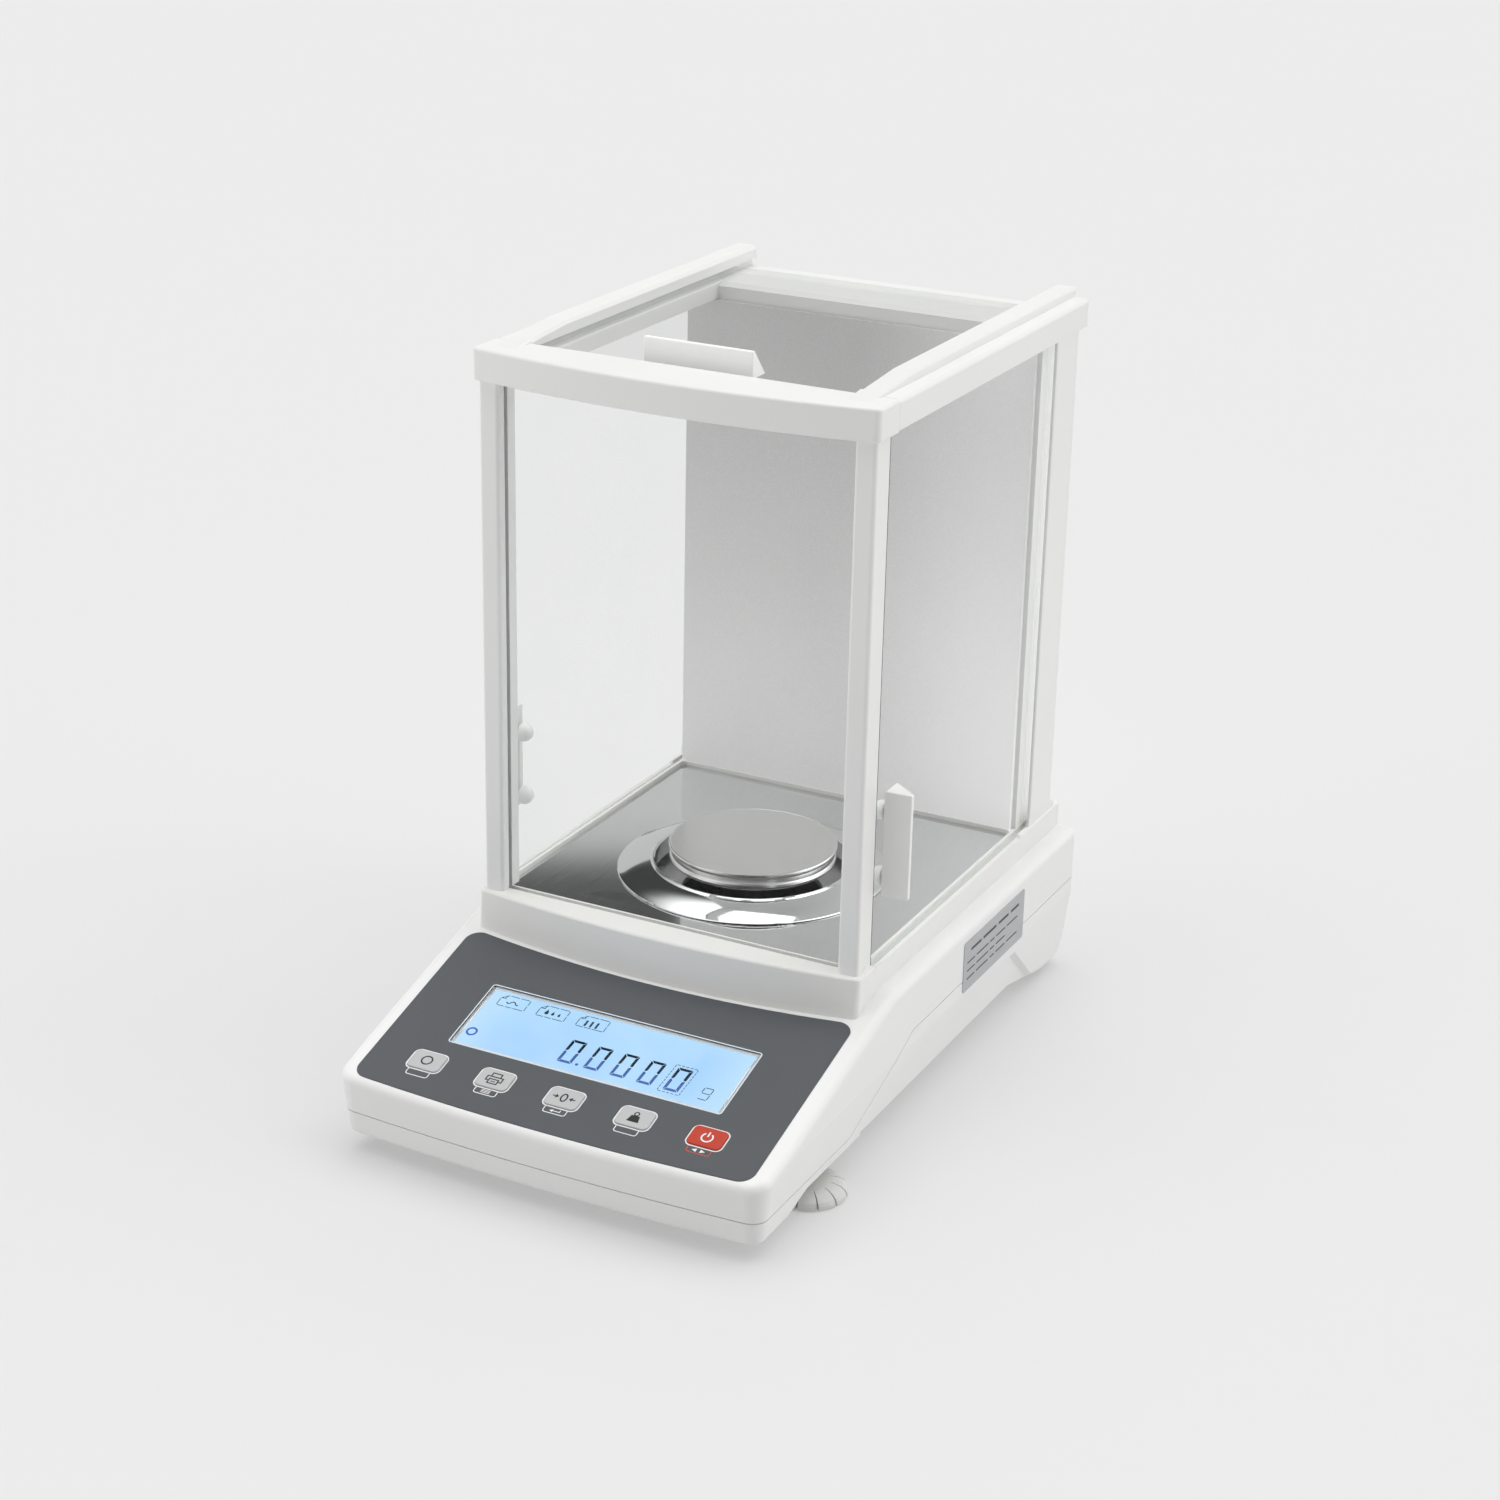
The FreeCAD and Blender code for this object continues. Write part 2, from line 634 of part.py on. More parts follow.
# ------------------------------------------------------------ posts and fixed panels
def front_post():
    post = box(86.0, 96.0, 2.0, 16.0, 0, BAR_Z0)
    post = fillet(post, 1.8, lambda edge: upright(edge) and mid(edge).y < 3)
    post = fillet(post, 0.8, lambda edge: upright(edge) and mid(edge).y > 15
                  and mid(edge).x > 95)
    _, slot_x1, slot_y0, slot_y1 = FRONT_GLASS_SLOT
    post = post.cut(box(85, slot_x1, slot_y0, slot_y1, -1, BAR_Z0 + 1))
    return post.cut(rod_z(*POST_SCREWS[1], -1, 14.0, 1.5))


def rear_post():
    post = box(96.1, 97.5, 196.4, 223.6, 4.4, RAIL_Z0)
    return fillet(post, 1.0, lambda edge: upright(edge) and mid(edge).x > 97)


def rear_column():
    column = box(-92.8, 92.8, 190.0, 212.0, 0, RAIL_Z0)
    column = fillet(column, 1.5, lambda edge: upright(edge) and mid(edge).y > 200)
    return column.cut(box(-90.2, 90.2, 192.6, 209.4, -1, RAIL_Z0 + 1))


def save_both(name, shape):
    """Save the right-hand piece and its mirror image."""
    save(name + "_right", shape)
    save(name + "_left", mirror(shape))


save_both("front_post", front_post())
save_both("rear_post", rear_post())
save("rear_column", rear_column())
save("back_panel", rounded_box(-92.6, 90.6, 187.6, 190.0, 0.0, BAR_Z0 + 0.5, 0.3))
save("front_glass", rounded_box(-88.1, 88.1, 7.15, 9.65, -1.5, 246.4, 0.3))


# ------------------------------------------------------------ top frame
def top_front_bar():
    bar = bowed_prism(9.5, BAR_REAR_Y, BAR_Z0, BAR_Z1, 3.2, 0.2)
    bar = fillet(bar, 1.6, lambda edge: mid(edge).z > BAR_Z1 - 0.01
                 and mid(edge).y < BAR_REAR_Y - 0.5)
    bar = fillet(bar, 0.8, lambda edge: mid(edge).z < BAR_Z0 + 0.01 and mid(edge).y < 1.5
                 and not along(edge, Y_AXIS))
    bar = bar.cut(box(*FRONT_GLASS_SLOT, BAR_Z0 - 1, 246.6))
    for side in (1, -1):
        bar = bar.cut(box(*span(side, GROOVE_X0, GROOVE_X1), GROOVE_Y0, 30,
                          BAR_Z0 - 1, GROOVE_TOP_Z))
    # the two ridges run out into the bar
    section = [(6.5, BAR_Z1 - 1.0), (6.5, BAR_Z1 - 0.02), (BAR_REAR_Y, RIDGE_FRONT_Z),
               (BAR_REAR_Y, BAR_Z1 - 1.0)]
    for side in (1, -1):
        ridge = prism_x(section, *span(side, RIDGE_X0, RIDGE_X1))
        ridge = fillet(ridge, 0.9, lambda edge: mid(edge).z > BAR_Z1 + 0.4
                       and not along(edge, X_AXIS) and not upright(edge))
        bar = fuse(bar, ridge)
    return bar


def rail_section(ridge_z):
    """Section of the right rail: x, z."""
    return [(FRAME_HALF, RAIL_Z0), (FRAME_HALF, RAIL_Z1), (RIDGE_X1, RAIL_Z1),
            (RIDGE_X1, ridge_z), (80.8, ridge_z), (RIDGE_X0, ridge_z - 1.8), (RIDGE_X0, 255.5),
            (81.4, 255.5), (81.4, TOP_SILL_Z), (77.0, TOP_SILL_Z), (77.0, RAIL_Z0),
            (GROOVE_X0, RAIL_Z0), (GROOVE_X0, GROOVE_TOP_Z),
            (GROOVE_X1, GROOVE_TOP_Z), (GROOVE_X1, RAIL_Z0)]


def is_ridge_edge(edge):
    centre = mid(edge)
    return (centre.z > RIDGE_FRONT_Z + 0.3 and (centre.x < 82 or centre.x > 90)
            and not along(edge, X_AXIS) and not upright(edge)
            and abs(centre.x - RIDGE_X0) > 0.1 and centre.y > BAR_REAR_Y + 0.5)


def top_rail():
    ends = []
    for y, ridge_z in ((BAR_REAR_Y, RIDGE_FRONT_Z), (RAMP_Y, RIDGE_Z)):
        ends.append(closed([Vector(x, y, z) for x, z in rail_section(ridge_z)]))
    rail = fuse(Part.makeLoft(ends, True, True),
                prism_y(rail_section(RIDGE_Z), RAMP_Y, TOP_REAR_Y)).removeSplitter()
    rail = fillet(rail, 2.5, lambda edge: upright(edge) and mid(edge).y > TOP_REAR_Y - 1
                  and mid(edge).x > 97)
    rail = fillet(rail, 2.2, lambda edge: abs(mid(edge).z - RAIL_Z1) < 0.01
                  and mid(edge).x > 92 and mid(edge).y > BAR_REAR_Y + 0.5)
    rail = fillet(rail, 1.4, is_ridge_edge)
    return fillet(rail, 0.8, lambda edge: along(edge, Y_AXIS)
                  and abs(mid(edge).z - TOP_SILL_Z) < 0.01 and mid(edge).x < 77.1)


def top_rear_bar():
    bar = prism_x([(190.0, RAIL_Z0), (190.0, 250.2), (192.6, TOP_SILL_Z),
                   (TOP_REAR_Y, TOP_SILL_Z), (TOP_REAR_Y, RAIL_Z0)], -77.0, 77.0)
    bar = fillet(bar, 1.5, lambda edge: along(edge, X_AXIS) and mid(edge).y > TOP_REAR_Y - 0.1
                 and mid(edge).z > 250)
    return bar.cut(box(-70, 70, 195, 226, 240, 249.4))


save("top_front_bar", top_front_bar())
save_both("top_rail", top_rail())
save("top_rear_bar", top_rear_bar())

# ------------------------------------------------------------ sliding doors
TOP_GLASS_Z0, TOP_GLASS_Z1 = 252.1, 254.9
CAP_HOLE_R, HANDLE_HOLE_R = 2.1, 1.6


def handle_cap(head_height, shank_length, glass):
    """Domed screw cap, head at z < 0, shank along +z."""
    head_radius = 4.4
    crown = Vector(0, 0, -head_height)
    rim = Vector(head_radius, 0, -head_height * 0.16)
    foot, centre = Vector(head_radius, 0, 0), Vector(0, 0, 0)
    dome = arc(crown, Vector(head_radius * 0.80, 0, -head_height * 0.70), rim)
    section = Part.Wire([dome, line(rim, foot), line(foot, centre), line(centre, crown)])
    head = Part.Face(section).revolve(centre, Z_AXIS, 360)
    return fuse(head, Part.makeCylinder(2.0, glass, centre),
                Part.makeCylinder(1.55, shank_length, centre))


def top_door_glass():
    glass = box(-81.0, 81.0, BAR_REAR_Y + 0.15, 214.0, TOP_GLASS_Z0, TOP_GLASS_Z1)
    for x, y in TOP_CAPS:
        glass = glass.cut(rod_z(x, y, 250, 257, CAP_HOLE_R))
    return fillet(glass, 0.35, lambda edge: along(edge, X_AXIS))


def top_door_handle():
    handle = prism_x([(25.0, TOP_GLASS_Z1), (25.0, 266.8), (27.0, 266.8), (36.4, 255.9),
                      (36.4, TOP_GLASS_Z1)], -26.5, 26.5)
    handle = fillet(handle, 0.7, lambda edge: (along(edge, X_AXIS) and mid(edge).z > 266)
                    or (mid(edge).z > 255.5 and abs(mid(edge).x) > 26.4))
    for x, y in TOP_CAPS:
        handle = handle.cut(rod_z(x, y, 250, 261, HANDLE_HOLE_R))
    return handle


def top_handle_caps():
    cap = handle_cap(5.0, 8.0, 2.8)
    return Part.makeCompound([place(cap, Vector(x, y, TOP_GLASS_Z0), Z_AXIS)
                              for x, y in TOP_CAPS])


def side_door_glass():
    glass = box(GLASS_X0, GLASS_X1, 16.3, 197.5, -1.5, 247.2)
    for y, z in SIDE_CAPS:
        glass = glass.cut(rod_x(y, z, 90, 99, CAP_HOLE_R))
    return fillet(glass, 0.3, upright)


def side_door_handle():
    z0, z1 = 30.4, 80.5
    handle = prism_z([(GLASS_X1, 24.2), (108.4, 25.2), (108.4, 27.4), (GLASS_X1 + 1.0, 36.2),
                      (GLASS_X1, 36.2)], z0, z1)
    handle = fillet(handle, 0.6, lambda edge: (upright(edge) and mid(edge).x > 108)
                    or abs(mid(edge).z - z1) < 0.01 or abs(mid(edge).z - z0) < 0.01)
    for y, z in SIDE_CAPS:
        handle = handle.cut(rod_x(y, z, 90, 99.6, HANDLE_HOLE_R))
    return handle


def side_handle_caps():
    cap = handle_cap(5.6, 6.0, GLASS_X1 - GLASS_X0)
    return Part.makeCompound([place(cap, Vector(GLASS_X0, y, z), X_AXIS)
                              for y, z in SIDE_CAPS])


save("top_door_glass", top_door_glass())
save("top_door_handle", top_door_handle())
save("top_handle_caps", top_handle_caps())
save_both("side_door_glass", side_door_glass())
save_both("side_door_handle", side_door_handle())
save_both("side_handle_caps", side_handle_caps())


# ------------------------------------------------------------ floor, ring, pan
def chamber_floor_plate():
    floor = rounded_box(-91.5, 91.5, 11.1, 186.9, -3.0, -2.0, 2.8)
    floor = floor.cut(rod_z(PAN_X, PAN_Y, -5, 0, 62.5))
    for x, y in POST_SCREWS:
        floor = floor.cut(rod_z(x, y, -5, 0, 1.9))
    return solid(floor)


# radius, z
DRAFT_RING = [
    (64.2, -2.0), (64.6, -1.7), (64.6, -1.35), (64.3, -1.05), (62.5, -0.45), (60.0, 0.45),
    (57.5, 1.25), (55.0, 1.9), (52.5, 2.4), (50.0, 2.75), (48.8, 2.9), (48.2, 3.3),
    (47.7, 3.6), (47.1, 3.6), (46.7, 3.2), (46.6, -5.0), (47.4, -5.0), (47.5, 2.0),
    (48.6, 2.1), (50.0, 1.95), (52.5, 1.6), (55.0, 1.1), (57.5, 0.45), (60.0, -0.35),
    (61.4, -0.85), (61.4, -3.2), (62.2, -3.2), (62.3, -2.0)]
# radius, depth below PAN_TOP; the cone socket of the hub ends at z = HUB_Z
HUB_Z = 2.0
PAN = [
    (0, 0.2), (38.9, 0.2), (39.4, 0), (39.9, 0.1), (40.2, 0.6), (40.1, 1.3), (39.4, 1.9),
    (39.1, 2.7), (39.1, 4.9), (39.6, 5.6), (39.9, 6.5), (39.8, 7.3), (39.3, 7.9),
    (38.4, 8.0), (38.0, 7.6), (38.0, 2.4), (37.2, 1.4), (8.0, 1.4), (7.0, 2.4),
    (6.5, PAN_TOP - HUB_Z), (3.5, PAN_TOP - HUB_Z), (2.6, 3.6), (0, 3.6)]

save("chamber_floor_plate", chamber_floor_plate())
save("draft_ring", turned(DRAFT_RING, PAN_X, PAN_Y))
save("weighing_pan", turned([(radius, PAN_TOP - depth) for radius, depth in PAN], PAN_X, PAN_Y))

# ------------------------------------------------------------ weighing cell
CELL_Z = -64.0                               # underside of the cell, top of the chassis
CELL_TOP = CELL_Z + 6.0                      # top of the cell's base
FULCRUM_Y, FULCRUM_Z = PAN_Y + 12.0, -40.0
LEVER_Z0, LEVER_Z1 = FULCRUM_Z - 3.5, FULCRUM_Z + 3.5
COIL_Y = 160


def load_receptor():
    """Spindle carrying the pan, cone seat on top, bracket below."""
    spindle = turned([(0, PAN_TOP - 3.75), (2.45, PAN_TOP - 3.75), (3.4, 1.85), (4.0, 1.4),
                      (4.0, -24.0), (9.0, -26.0), (9.0, -29.0), (0, -29.0)], PAN_X, PAN_Y)
    bracket = box(-9, 9, PAN_Y - 9, PAN_Y - 1.0, -62, -28.5)
    return fuse(spindle, bracket, box(-7, 7, PAN_Y - 1.0, PAN_Y + 2.0, -60, -55))


def weigh_cell_frame():
    cell = box(-30, 30, 93.5, 182, CELL_Z, CELL_TOP)
    for side in (1, -1):
        cell = fuse(cell, box(*span(side, 14, 22), FULCRUM_Y - 7, FULCRUM_Y + 7,
                              CELL_Z + 5, FULCRUM_Z + 7))
    cell = fuse(cell, rod_x(FULCRUM_Y, FULCRUM_Z, -14, 14, 3.0))
    cell = cell.cut(rod_z(0, COIL_Y, CELL_Z - 1, CELL_Z + 8, 17.05))
    for x, y in CHASSIS_SCREWS:
        cell = cell.cut(rod_z(x, y, CELL_Z - 1, CELL_Z + 8, 2.1))
    return solid(cell)


def guide_arms(side):
    """Upright strip with two arms that run forward beside the receptor."""
    x0, x1 = span(side, 10.5, 13.2)
    post = box(x0, x1, FULCRUM_Y - 7.0, FULCRUM_Y - 4.0, CELL_TOP, -30.0)
    arms = [box(x0, x1, PAN_Y - 8, FULCRUM_Y - 7.0, z, z + 1.0) for z in (-31.0, -53.0)]
    return fuse(post, *arms)


def balance_lever():
    lever = rounded_box(-9.5, 9.5, PAN_Y + 4.0, 168, LEVER_Z0, LEVER_Z1, 2.0)
    lever = lever.cut(rod_x(FULCRUM_Y, FULCRUM_Z, -15, 15, 3.06))
    return solid(lever.cut(box(-5, 5, 112, 146, -60, -20)))


def force_coil():
    coil = rod_z(0, COIL_Y, -56.0, LEVER_Z0, 11.4)
    return solid(coil.cut(rod_z(0, COIL_Y, -57, LEVER_Z0 - 2, 9.4)))


def magnet_pot():
    gap = rod_z(0, COIL_Y, -59.0, -40, 13.0).cut(rod_z(0, COIL_Y, -60, -40, 7.8))
    return solid(rod_z(0, COIL_Y, CELL_Z, -46.5, 17.0).cut(gap))


def chassis_plate():
    chassis = rounded_box(-62, 62, 40, 196, CHASSIS_Z, CELL_Z, 5.0)
    chassis = chassis.cut(rod_z(PAN_X, PAN_Y, -70, -60, 12.0))
    for x, y in CHASSIS_SCREWS:
        chassis = chassis.cut(rod_z(x, y, -70, -60, 1.7))
    for side in (-1, 1):
        chassis = chassis.cut(box(*span(side, 34, 50), 60, 175, -66.5, -60))
    return solid(chassis)


def cell_screw():
    screw = fuse(rod_z(0, 0, 0, 2.6, 3.4), rod_z(0, 0, -9.4, 0, 1.65))
    return screw.cut(rod_z(0, 0, 1.2, 3.2, 1.4))


save("load_receptor", load_receptor())
save("weigh_cell_frame", weigh_cell_frame())
save("guide_arms", Part.makeCompound([guide_arms(side) for side in (1, -1)]))
save("balance_lever", balance_lever())
save("force_coil", force_coil())
save("magnet_pot", magnet_pot())
save("chassis_plate", chassis_plate())
save("cell_screws", Part.makeCompound([place(cell_screw(), Vector(x, y, CELL_TOP), Z_AXIS)
                                       for x, y in CHASSIS_SCREWS]))

# ------------------------------------------------------------ feet
KNOB_R = 18.0
# flat dome of the knob: radius, z
KNOB = [(KNOB_R - 0.3, -87.5), (KNOB_R, -87.0), (KNOB_R - 0.15, -85.6), (17.1, -84.2),
        (15.6, -82.9), (13.5, -81.9), (11.0, -81.2), (8.0, -80.8), (5.5, -80.6)]
# tapered grip groove, before it is turned into place: x, y
KNOB_GROOVE = [(10.6, -0.12), (KNOB_R - 1.6, -0.3), (KNOB_R + 1, -0.75),
               (KNOB_R + 1, 0.75), (KNOB_R - 1.6, 0.3), (10.6, 0.12)]


def knob_form(x, inset):
    """Dome moved in by inset; the lowest two points keep their height."""
    drop = inset * 0.7
    points = [(0, BENCH_Z if inset else -87.5)]
    for k, (radius, z) in enumerate(KNOB):
        points.append((radius - inset, z if k < 2 else z - drop))
    return turned(points + [(0, -80.6 - drop)], x, FOOT_Y)


def foot_knob(x):
    body = knob_form(x, 0.0)
    core = knob_form(x, 1.5)
    for k in range(12):
        groove = prism_z(KNOB_GROOVE, -90.0, -79.0)
        groove.rotate(Vector(0, 0, 0), Z_AXIS, 30 * k - 19.1)
        groove.translate(Vector(x, FOOT_Y, 0))
        body = body.cut(groove.cut(core))
    body = body.cut(rod_z(x, FOOT_Y, -89.0, -84.8, 11.4))
    stud = rod_z(x, FOOT_Y, -82.0, -54.5, 4.0)
    tip = rod_z(x, FOOT_Y, -86.4, -84.0, 5.0)
    return fuse(body, stud, tip)


def foot_pad(x):
    pad = rod_z(x, FOOT_Y, BENCH_Z, -84.9, 11.0)
    pad = fillet(pad, 0.8, lambda edge: True)
    return pad.cut(rod_z(x, FOOT_Y, -86.5, -80, 5.08))


def foot_insert(x):
    return rod_z(x, FOOT_Y, -73.4, -57.0, 6.0).cut(rod_z(x, FOOT_Y, -80, -50, 4.05))


def rear_foot(x, y):
    return fillet(rod_z(x, y, BENCH_Z, -82.2, 8.0), 0.9, lambda edge: mid(edge).z < -87.9)


for name, x in (("right", FOOT_X), ("left", -FOOT_X)):
    save("foot_knob_" + name, foot_knob(x))
    save("foot_pad_" + name, foot_pad(x))
save("foot_inserts", Part.makeCompound([foot_insert(x) for x in (FOOT_X, -FOOT_X)]))
save("rear_feet", Part.makeCompound([rear_foot(x, y) for x, y in REAR_FEET]))

# ------------------------------------------------------------ main board and cable
# components on the main board: x0, x1, y0, y1, top z
COMPONENTS = [(-92, -80, 90, 102, -63.0), (-90, -76, 120, 134, -62.6),
              (-94, -70, 150, 166, -54.0), (-96, -88, 176, 190, -58.0),
              (-84, -70, 176, 182, -56.0)]
# flat cable from the display board to the main board: y, z
CABLE = [(-80.2, -58.9), (-76.0, -66.0), (-60.0, -70.35), (61.5, -70.35),
         (64.6, MAIN_BOARD_Z1), (75.0, MAIN_BOARD_Z1)]
CABLE_X = (-78.0, -68.0)
CABLE_THICKNESS = 0.4


def main_board():
    board = rounded_box(-99, -66, 66, 196, MAIN_BOARD_Z0, MAIN_BOARD_Z1, 1.5)
    return fuse(board, *[box(x0, x1, y0, y1, MAIN_BOARD_Z1, z1)
                         for x0, x1, y0, y1, z1 in COMPONENTS])


def display_cable():
    cable = None
    for (y0, z0), (y1, z1) in zip(CABLE, CABLE[1:]):
        length = math.hypot(y1 - y0, z1 - z0)
        dy = -(z1 - z0) / length * CABLE_THICKNESS
        dz = (y1 - y0) / length * CABLE_THICKNESS
        piece = prism_x([(y0, z0), (y1, z1), (y1 + dy, z1 + dz), (y0 + dy, z0 + dz)], *CABLE_X)
        cable = piece if cable is None else cable.fuse(piece)
    cable = fuse(cable, box(*CABLE_X, 70, 76, MAIN_BOARD_Z1, -62.4))
    # clear of the connector on the display board
    return solid(cable.cut(on_panel(panel_box(-81, -65, 79, 86, -17.03, -11.0))))


save("main_board", main_board())
save("display_cable", display_cable())

# ------------------------------------------------------------ rear connectors
CONNECTOR_SHIFT = REAR_Y - 236.7             # both are drawn this much too far forward


def power_jack():
    """Round barrel socket with a centre pin."""
    jack = rod_y(JACK_X, CONNECTOR_Z, 222.0, 235.6, 5.5)
    jack = fuse(jack, box(JACK_X - 7, JACK_X + 7, 212.0, 227.0,
                          CONNECTOR_Z - 6.5, CONNECTOR_Z + 6.5))
    jack = jack.cut(rod_y(JACK_X, CONNECTOR_Z, 226.0, 240, 2.8))
    jack = fuse(jack, rod_y(JACK_X, CONNECTOR_Z, 225.5, 234.6, 1.0))
    jack.translate(Vector(0, CONNECTOR_SHIFT, 0))
    return jack


def port_prism(top_half, low_half, half_height, y0, y1):
    """Block with a trapezoid section, wider at the top."""
    top, low = CONNECTOR_Z + half_height, CONNECTOR_Z - half_height
    return prism_y([(PORT_X - top_half, top), (PORT_X + top_half, top),
                    (PORT_X + low_half, low), (PORT_X - low_half, low)], y0, y1)


def serial_port():
    """Nine-way port."""
    port = box(PORT_X - 15.4, PORT_X + 15.4, 221.0, 230.0,
               CONNECTOR_Z - 6.2, CONNECTOR_Z + 6.2)
    port = fuse(port, port_prism(9.0, 7.6, 4.2, 229, 236.0))
    port = port.cut(port_prism(8.2, 6.9, 3.5, 230.2, 240))
    pins = []
    for count, rise in ((5, 1.4), (4, -1.4)):
        for k in range(count):
            x = PORT_X + (k - (count - 1) / 2) * 2.7
            pins.append(rod_y(x, CONNECTOR_Z + rise, 229.0, 234.6, 0.5))
    nuts = [rod_y(PORT_X + side * 12.5, CONNECTOR_Z, 229.0, 233.6, 2.4) for side in (1, -1)]
    port = fuse(port, *(pins + nuts))
    port.translate(Vector(0, CONNECTOR_SHIFT, 0))
    return port


save("power_jack", power_jack())
save("serial_port", serial_port())


# ------------------------------------------------------------ level and rating plate
def level_rod(z0, z1, radius):
    return rod_z(LEVEL_X, LEVEL_Y, z0, z1, radius)


def level_body():
    body = level_rod(-6.0, 0.8, 8.0).cut(level_rod(-4.0, -0.3, 6.4))
    body = fillet(body, 0.6, lambda edge: mid(edge).z > 0.79)
    return body.cut(level_rod(-0.31, 2.0, 5.6))


def level_vial():
    bubble = Part.makeSphere(1.4, Vector(LEVEL_X, LEVEL_Y, -1.9))
    return level_rod(-3.9, -0.35, 6.3).cut(bubble)


def rating_plate():
    plate = box(HALF_WIDTH, HALF_WIDTH + 0.35, 96.0, 169.0, -46.0, -20.2)
    return fillet(plate, 1.5, lambda edge: along(edge, X_AXIS))


save("level_body", level_body())
save("level_vial", level_vial())
save("rating_plate", rating_plate())


# ------------------------------------------------------------ screws
def housing_screw(x, y):
    """Screw with a cross slot in its head, driven from below."""
    floor_z = floor_out(y)
    head = rod_z(x, y, floor_z - 0.9, floor_z + 1.4, 3.0)
    shank = rod_z(x, y, floor_z + 1.4, floor_z + WALL + 9.5, 1.48)
    screw = fuse(head, shank)
    for half_x, half_y in ((2.2, 0.4), (0.4, 2.2)):
        screw = screw.cut(box(x - half_x, x + half_x, y - half_y, y + half_y,
                              floor_z - 2, floor_z + 0.3))
    return screw


def post_screw(x, y):
    """Screw up through the deck, its head clear below the sloping wall."""
    head_top = min(top_z(y - 3.5), top_z(y + 3.5)) - WALL - 1.2
    return fuse(rod_z(x, y, head_top - 2.6, head_top, 3.2), rod_z(x, y, head_top, 12.0, 1.48))


save("housing_screws", Part.makeCompound([housing_screw(x, y) for x, y in HOUSING_SCREWS]))
save("post_screws", Part.makeCompound([post_screw(x, y) for x, y in POST_SCREWS]))
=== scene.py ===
"""Looks of an analytical balance: finishes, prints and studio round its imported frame.

Details are written in millimetres in the design frame of the part (x to the right, y to the
back from the front corners of the top frame, z up from the chamber base frame). The panel and
the rating plate have flat frames of their own. All are turned into metres of the row frame by
part_point(), panel_point() and plate_point(). Shader values are in metres of the row frame.
"""

import json
import math

import bmesh
import bpy
from mathutils import Matrix, Vector


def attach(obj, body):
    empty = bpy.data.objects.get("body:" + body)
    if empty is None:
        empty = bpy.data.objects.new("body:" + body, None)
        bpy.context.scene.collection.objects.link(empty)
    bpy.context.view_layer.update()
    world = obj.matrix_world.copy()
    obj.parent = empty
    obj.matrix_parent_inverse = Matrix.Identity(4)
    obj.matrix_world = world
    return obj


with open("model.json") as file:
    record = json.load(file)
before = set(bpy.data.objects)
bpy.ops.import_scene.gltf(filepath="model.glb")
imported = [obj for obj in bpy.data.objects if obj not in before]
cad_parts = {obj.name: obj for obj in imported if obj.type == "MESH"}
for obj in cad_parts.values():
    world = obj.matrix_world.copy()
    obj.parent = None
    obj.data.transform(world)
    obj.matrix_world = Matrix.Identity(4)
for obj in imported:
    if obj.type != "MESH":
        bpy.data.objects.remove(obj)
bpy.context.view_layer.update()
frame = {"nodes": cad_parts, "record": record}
nodes = frame["nodes"]
scene = bpy.context.scene

# ------------------------------------------------------------ frames and sizes, mm
ORIGIN_Y, ORIGIN_Z = -64.5, 88.0          # design origin in the row frame
PANEL_SLOPE = math.radians(15.9)
PANEL_Y, PANEL_Z = -4.5, -19.6            # upper edge of the operating panel
PLATE_X, PLATE_Z = 107.85, -20.0          # rating plate face and its upper level
RING_Y = 88.0                             # upright axis of the draught ring and the pan
RING_AXIS = (0.0, (RING_Y + ORIGIN_Y) / 1000.0)

PRINT_THICK = 0.03
LCD_HEIGHT = -0.90                        # read-out, below the panel face
KEY_PRINT_HEIGHT = 0.035                  # prints round the keys, above the panel face
KEY_CAP_HEIGHT = 0.75
KEY_PITCH, KEY_T = 35.2, 86.8
KEY_WIDTH, KEY_DEPTH = 16.3, 11.3
KEY_X = {key: KEY_PITCH * (k - 2) for k, key in enumerate(("off", "print", "tare", "cal", "on"))}


def part_point(x, y, z):
    """Design frame to row frame."""
    return Vector((x / 1000.0, (y + ORIGIN_Y) / 1000.0, (z + ORIGIN_Z) / 1000.0))


def panel_point(x, t, w=0.0):
    """Panel frame (x across, t down the slope, w off the face) to row frame."""
    cos, sin = math.cos(PANEL_SLOPE), math.sin(PANEL_SLOPE)
    return part_point(x, PANEL_Y - t * cos - w * sin, PANEL_Z - t * sin + w * cos)


def plate_point(a, b, w=0.0):
    """Rating plate frame on the right wall (a to the back, b down, w out) to row frame."""
    return part_point(PLATE_X + w, a, PLATE_Z - b)


def display_colour(*rgb):
    """Display values 0..255 to scene linear."""
    parts = [c / 255.0 for c in rgb]
    return (*(c / 12.92 if c <= 0.04045 else ((c + 0.055) / 1.055) ** 2.4 for c in parts), 1.0)


def shade(colour, factor):
    return (colour[0] * factor, colour[1] * factor, colour[2] * factor, 1.0)


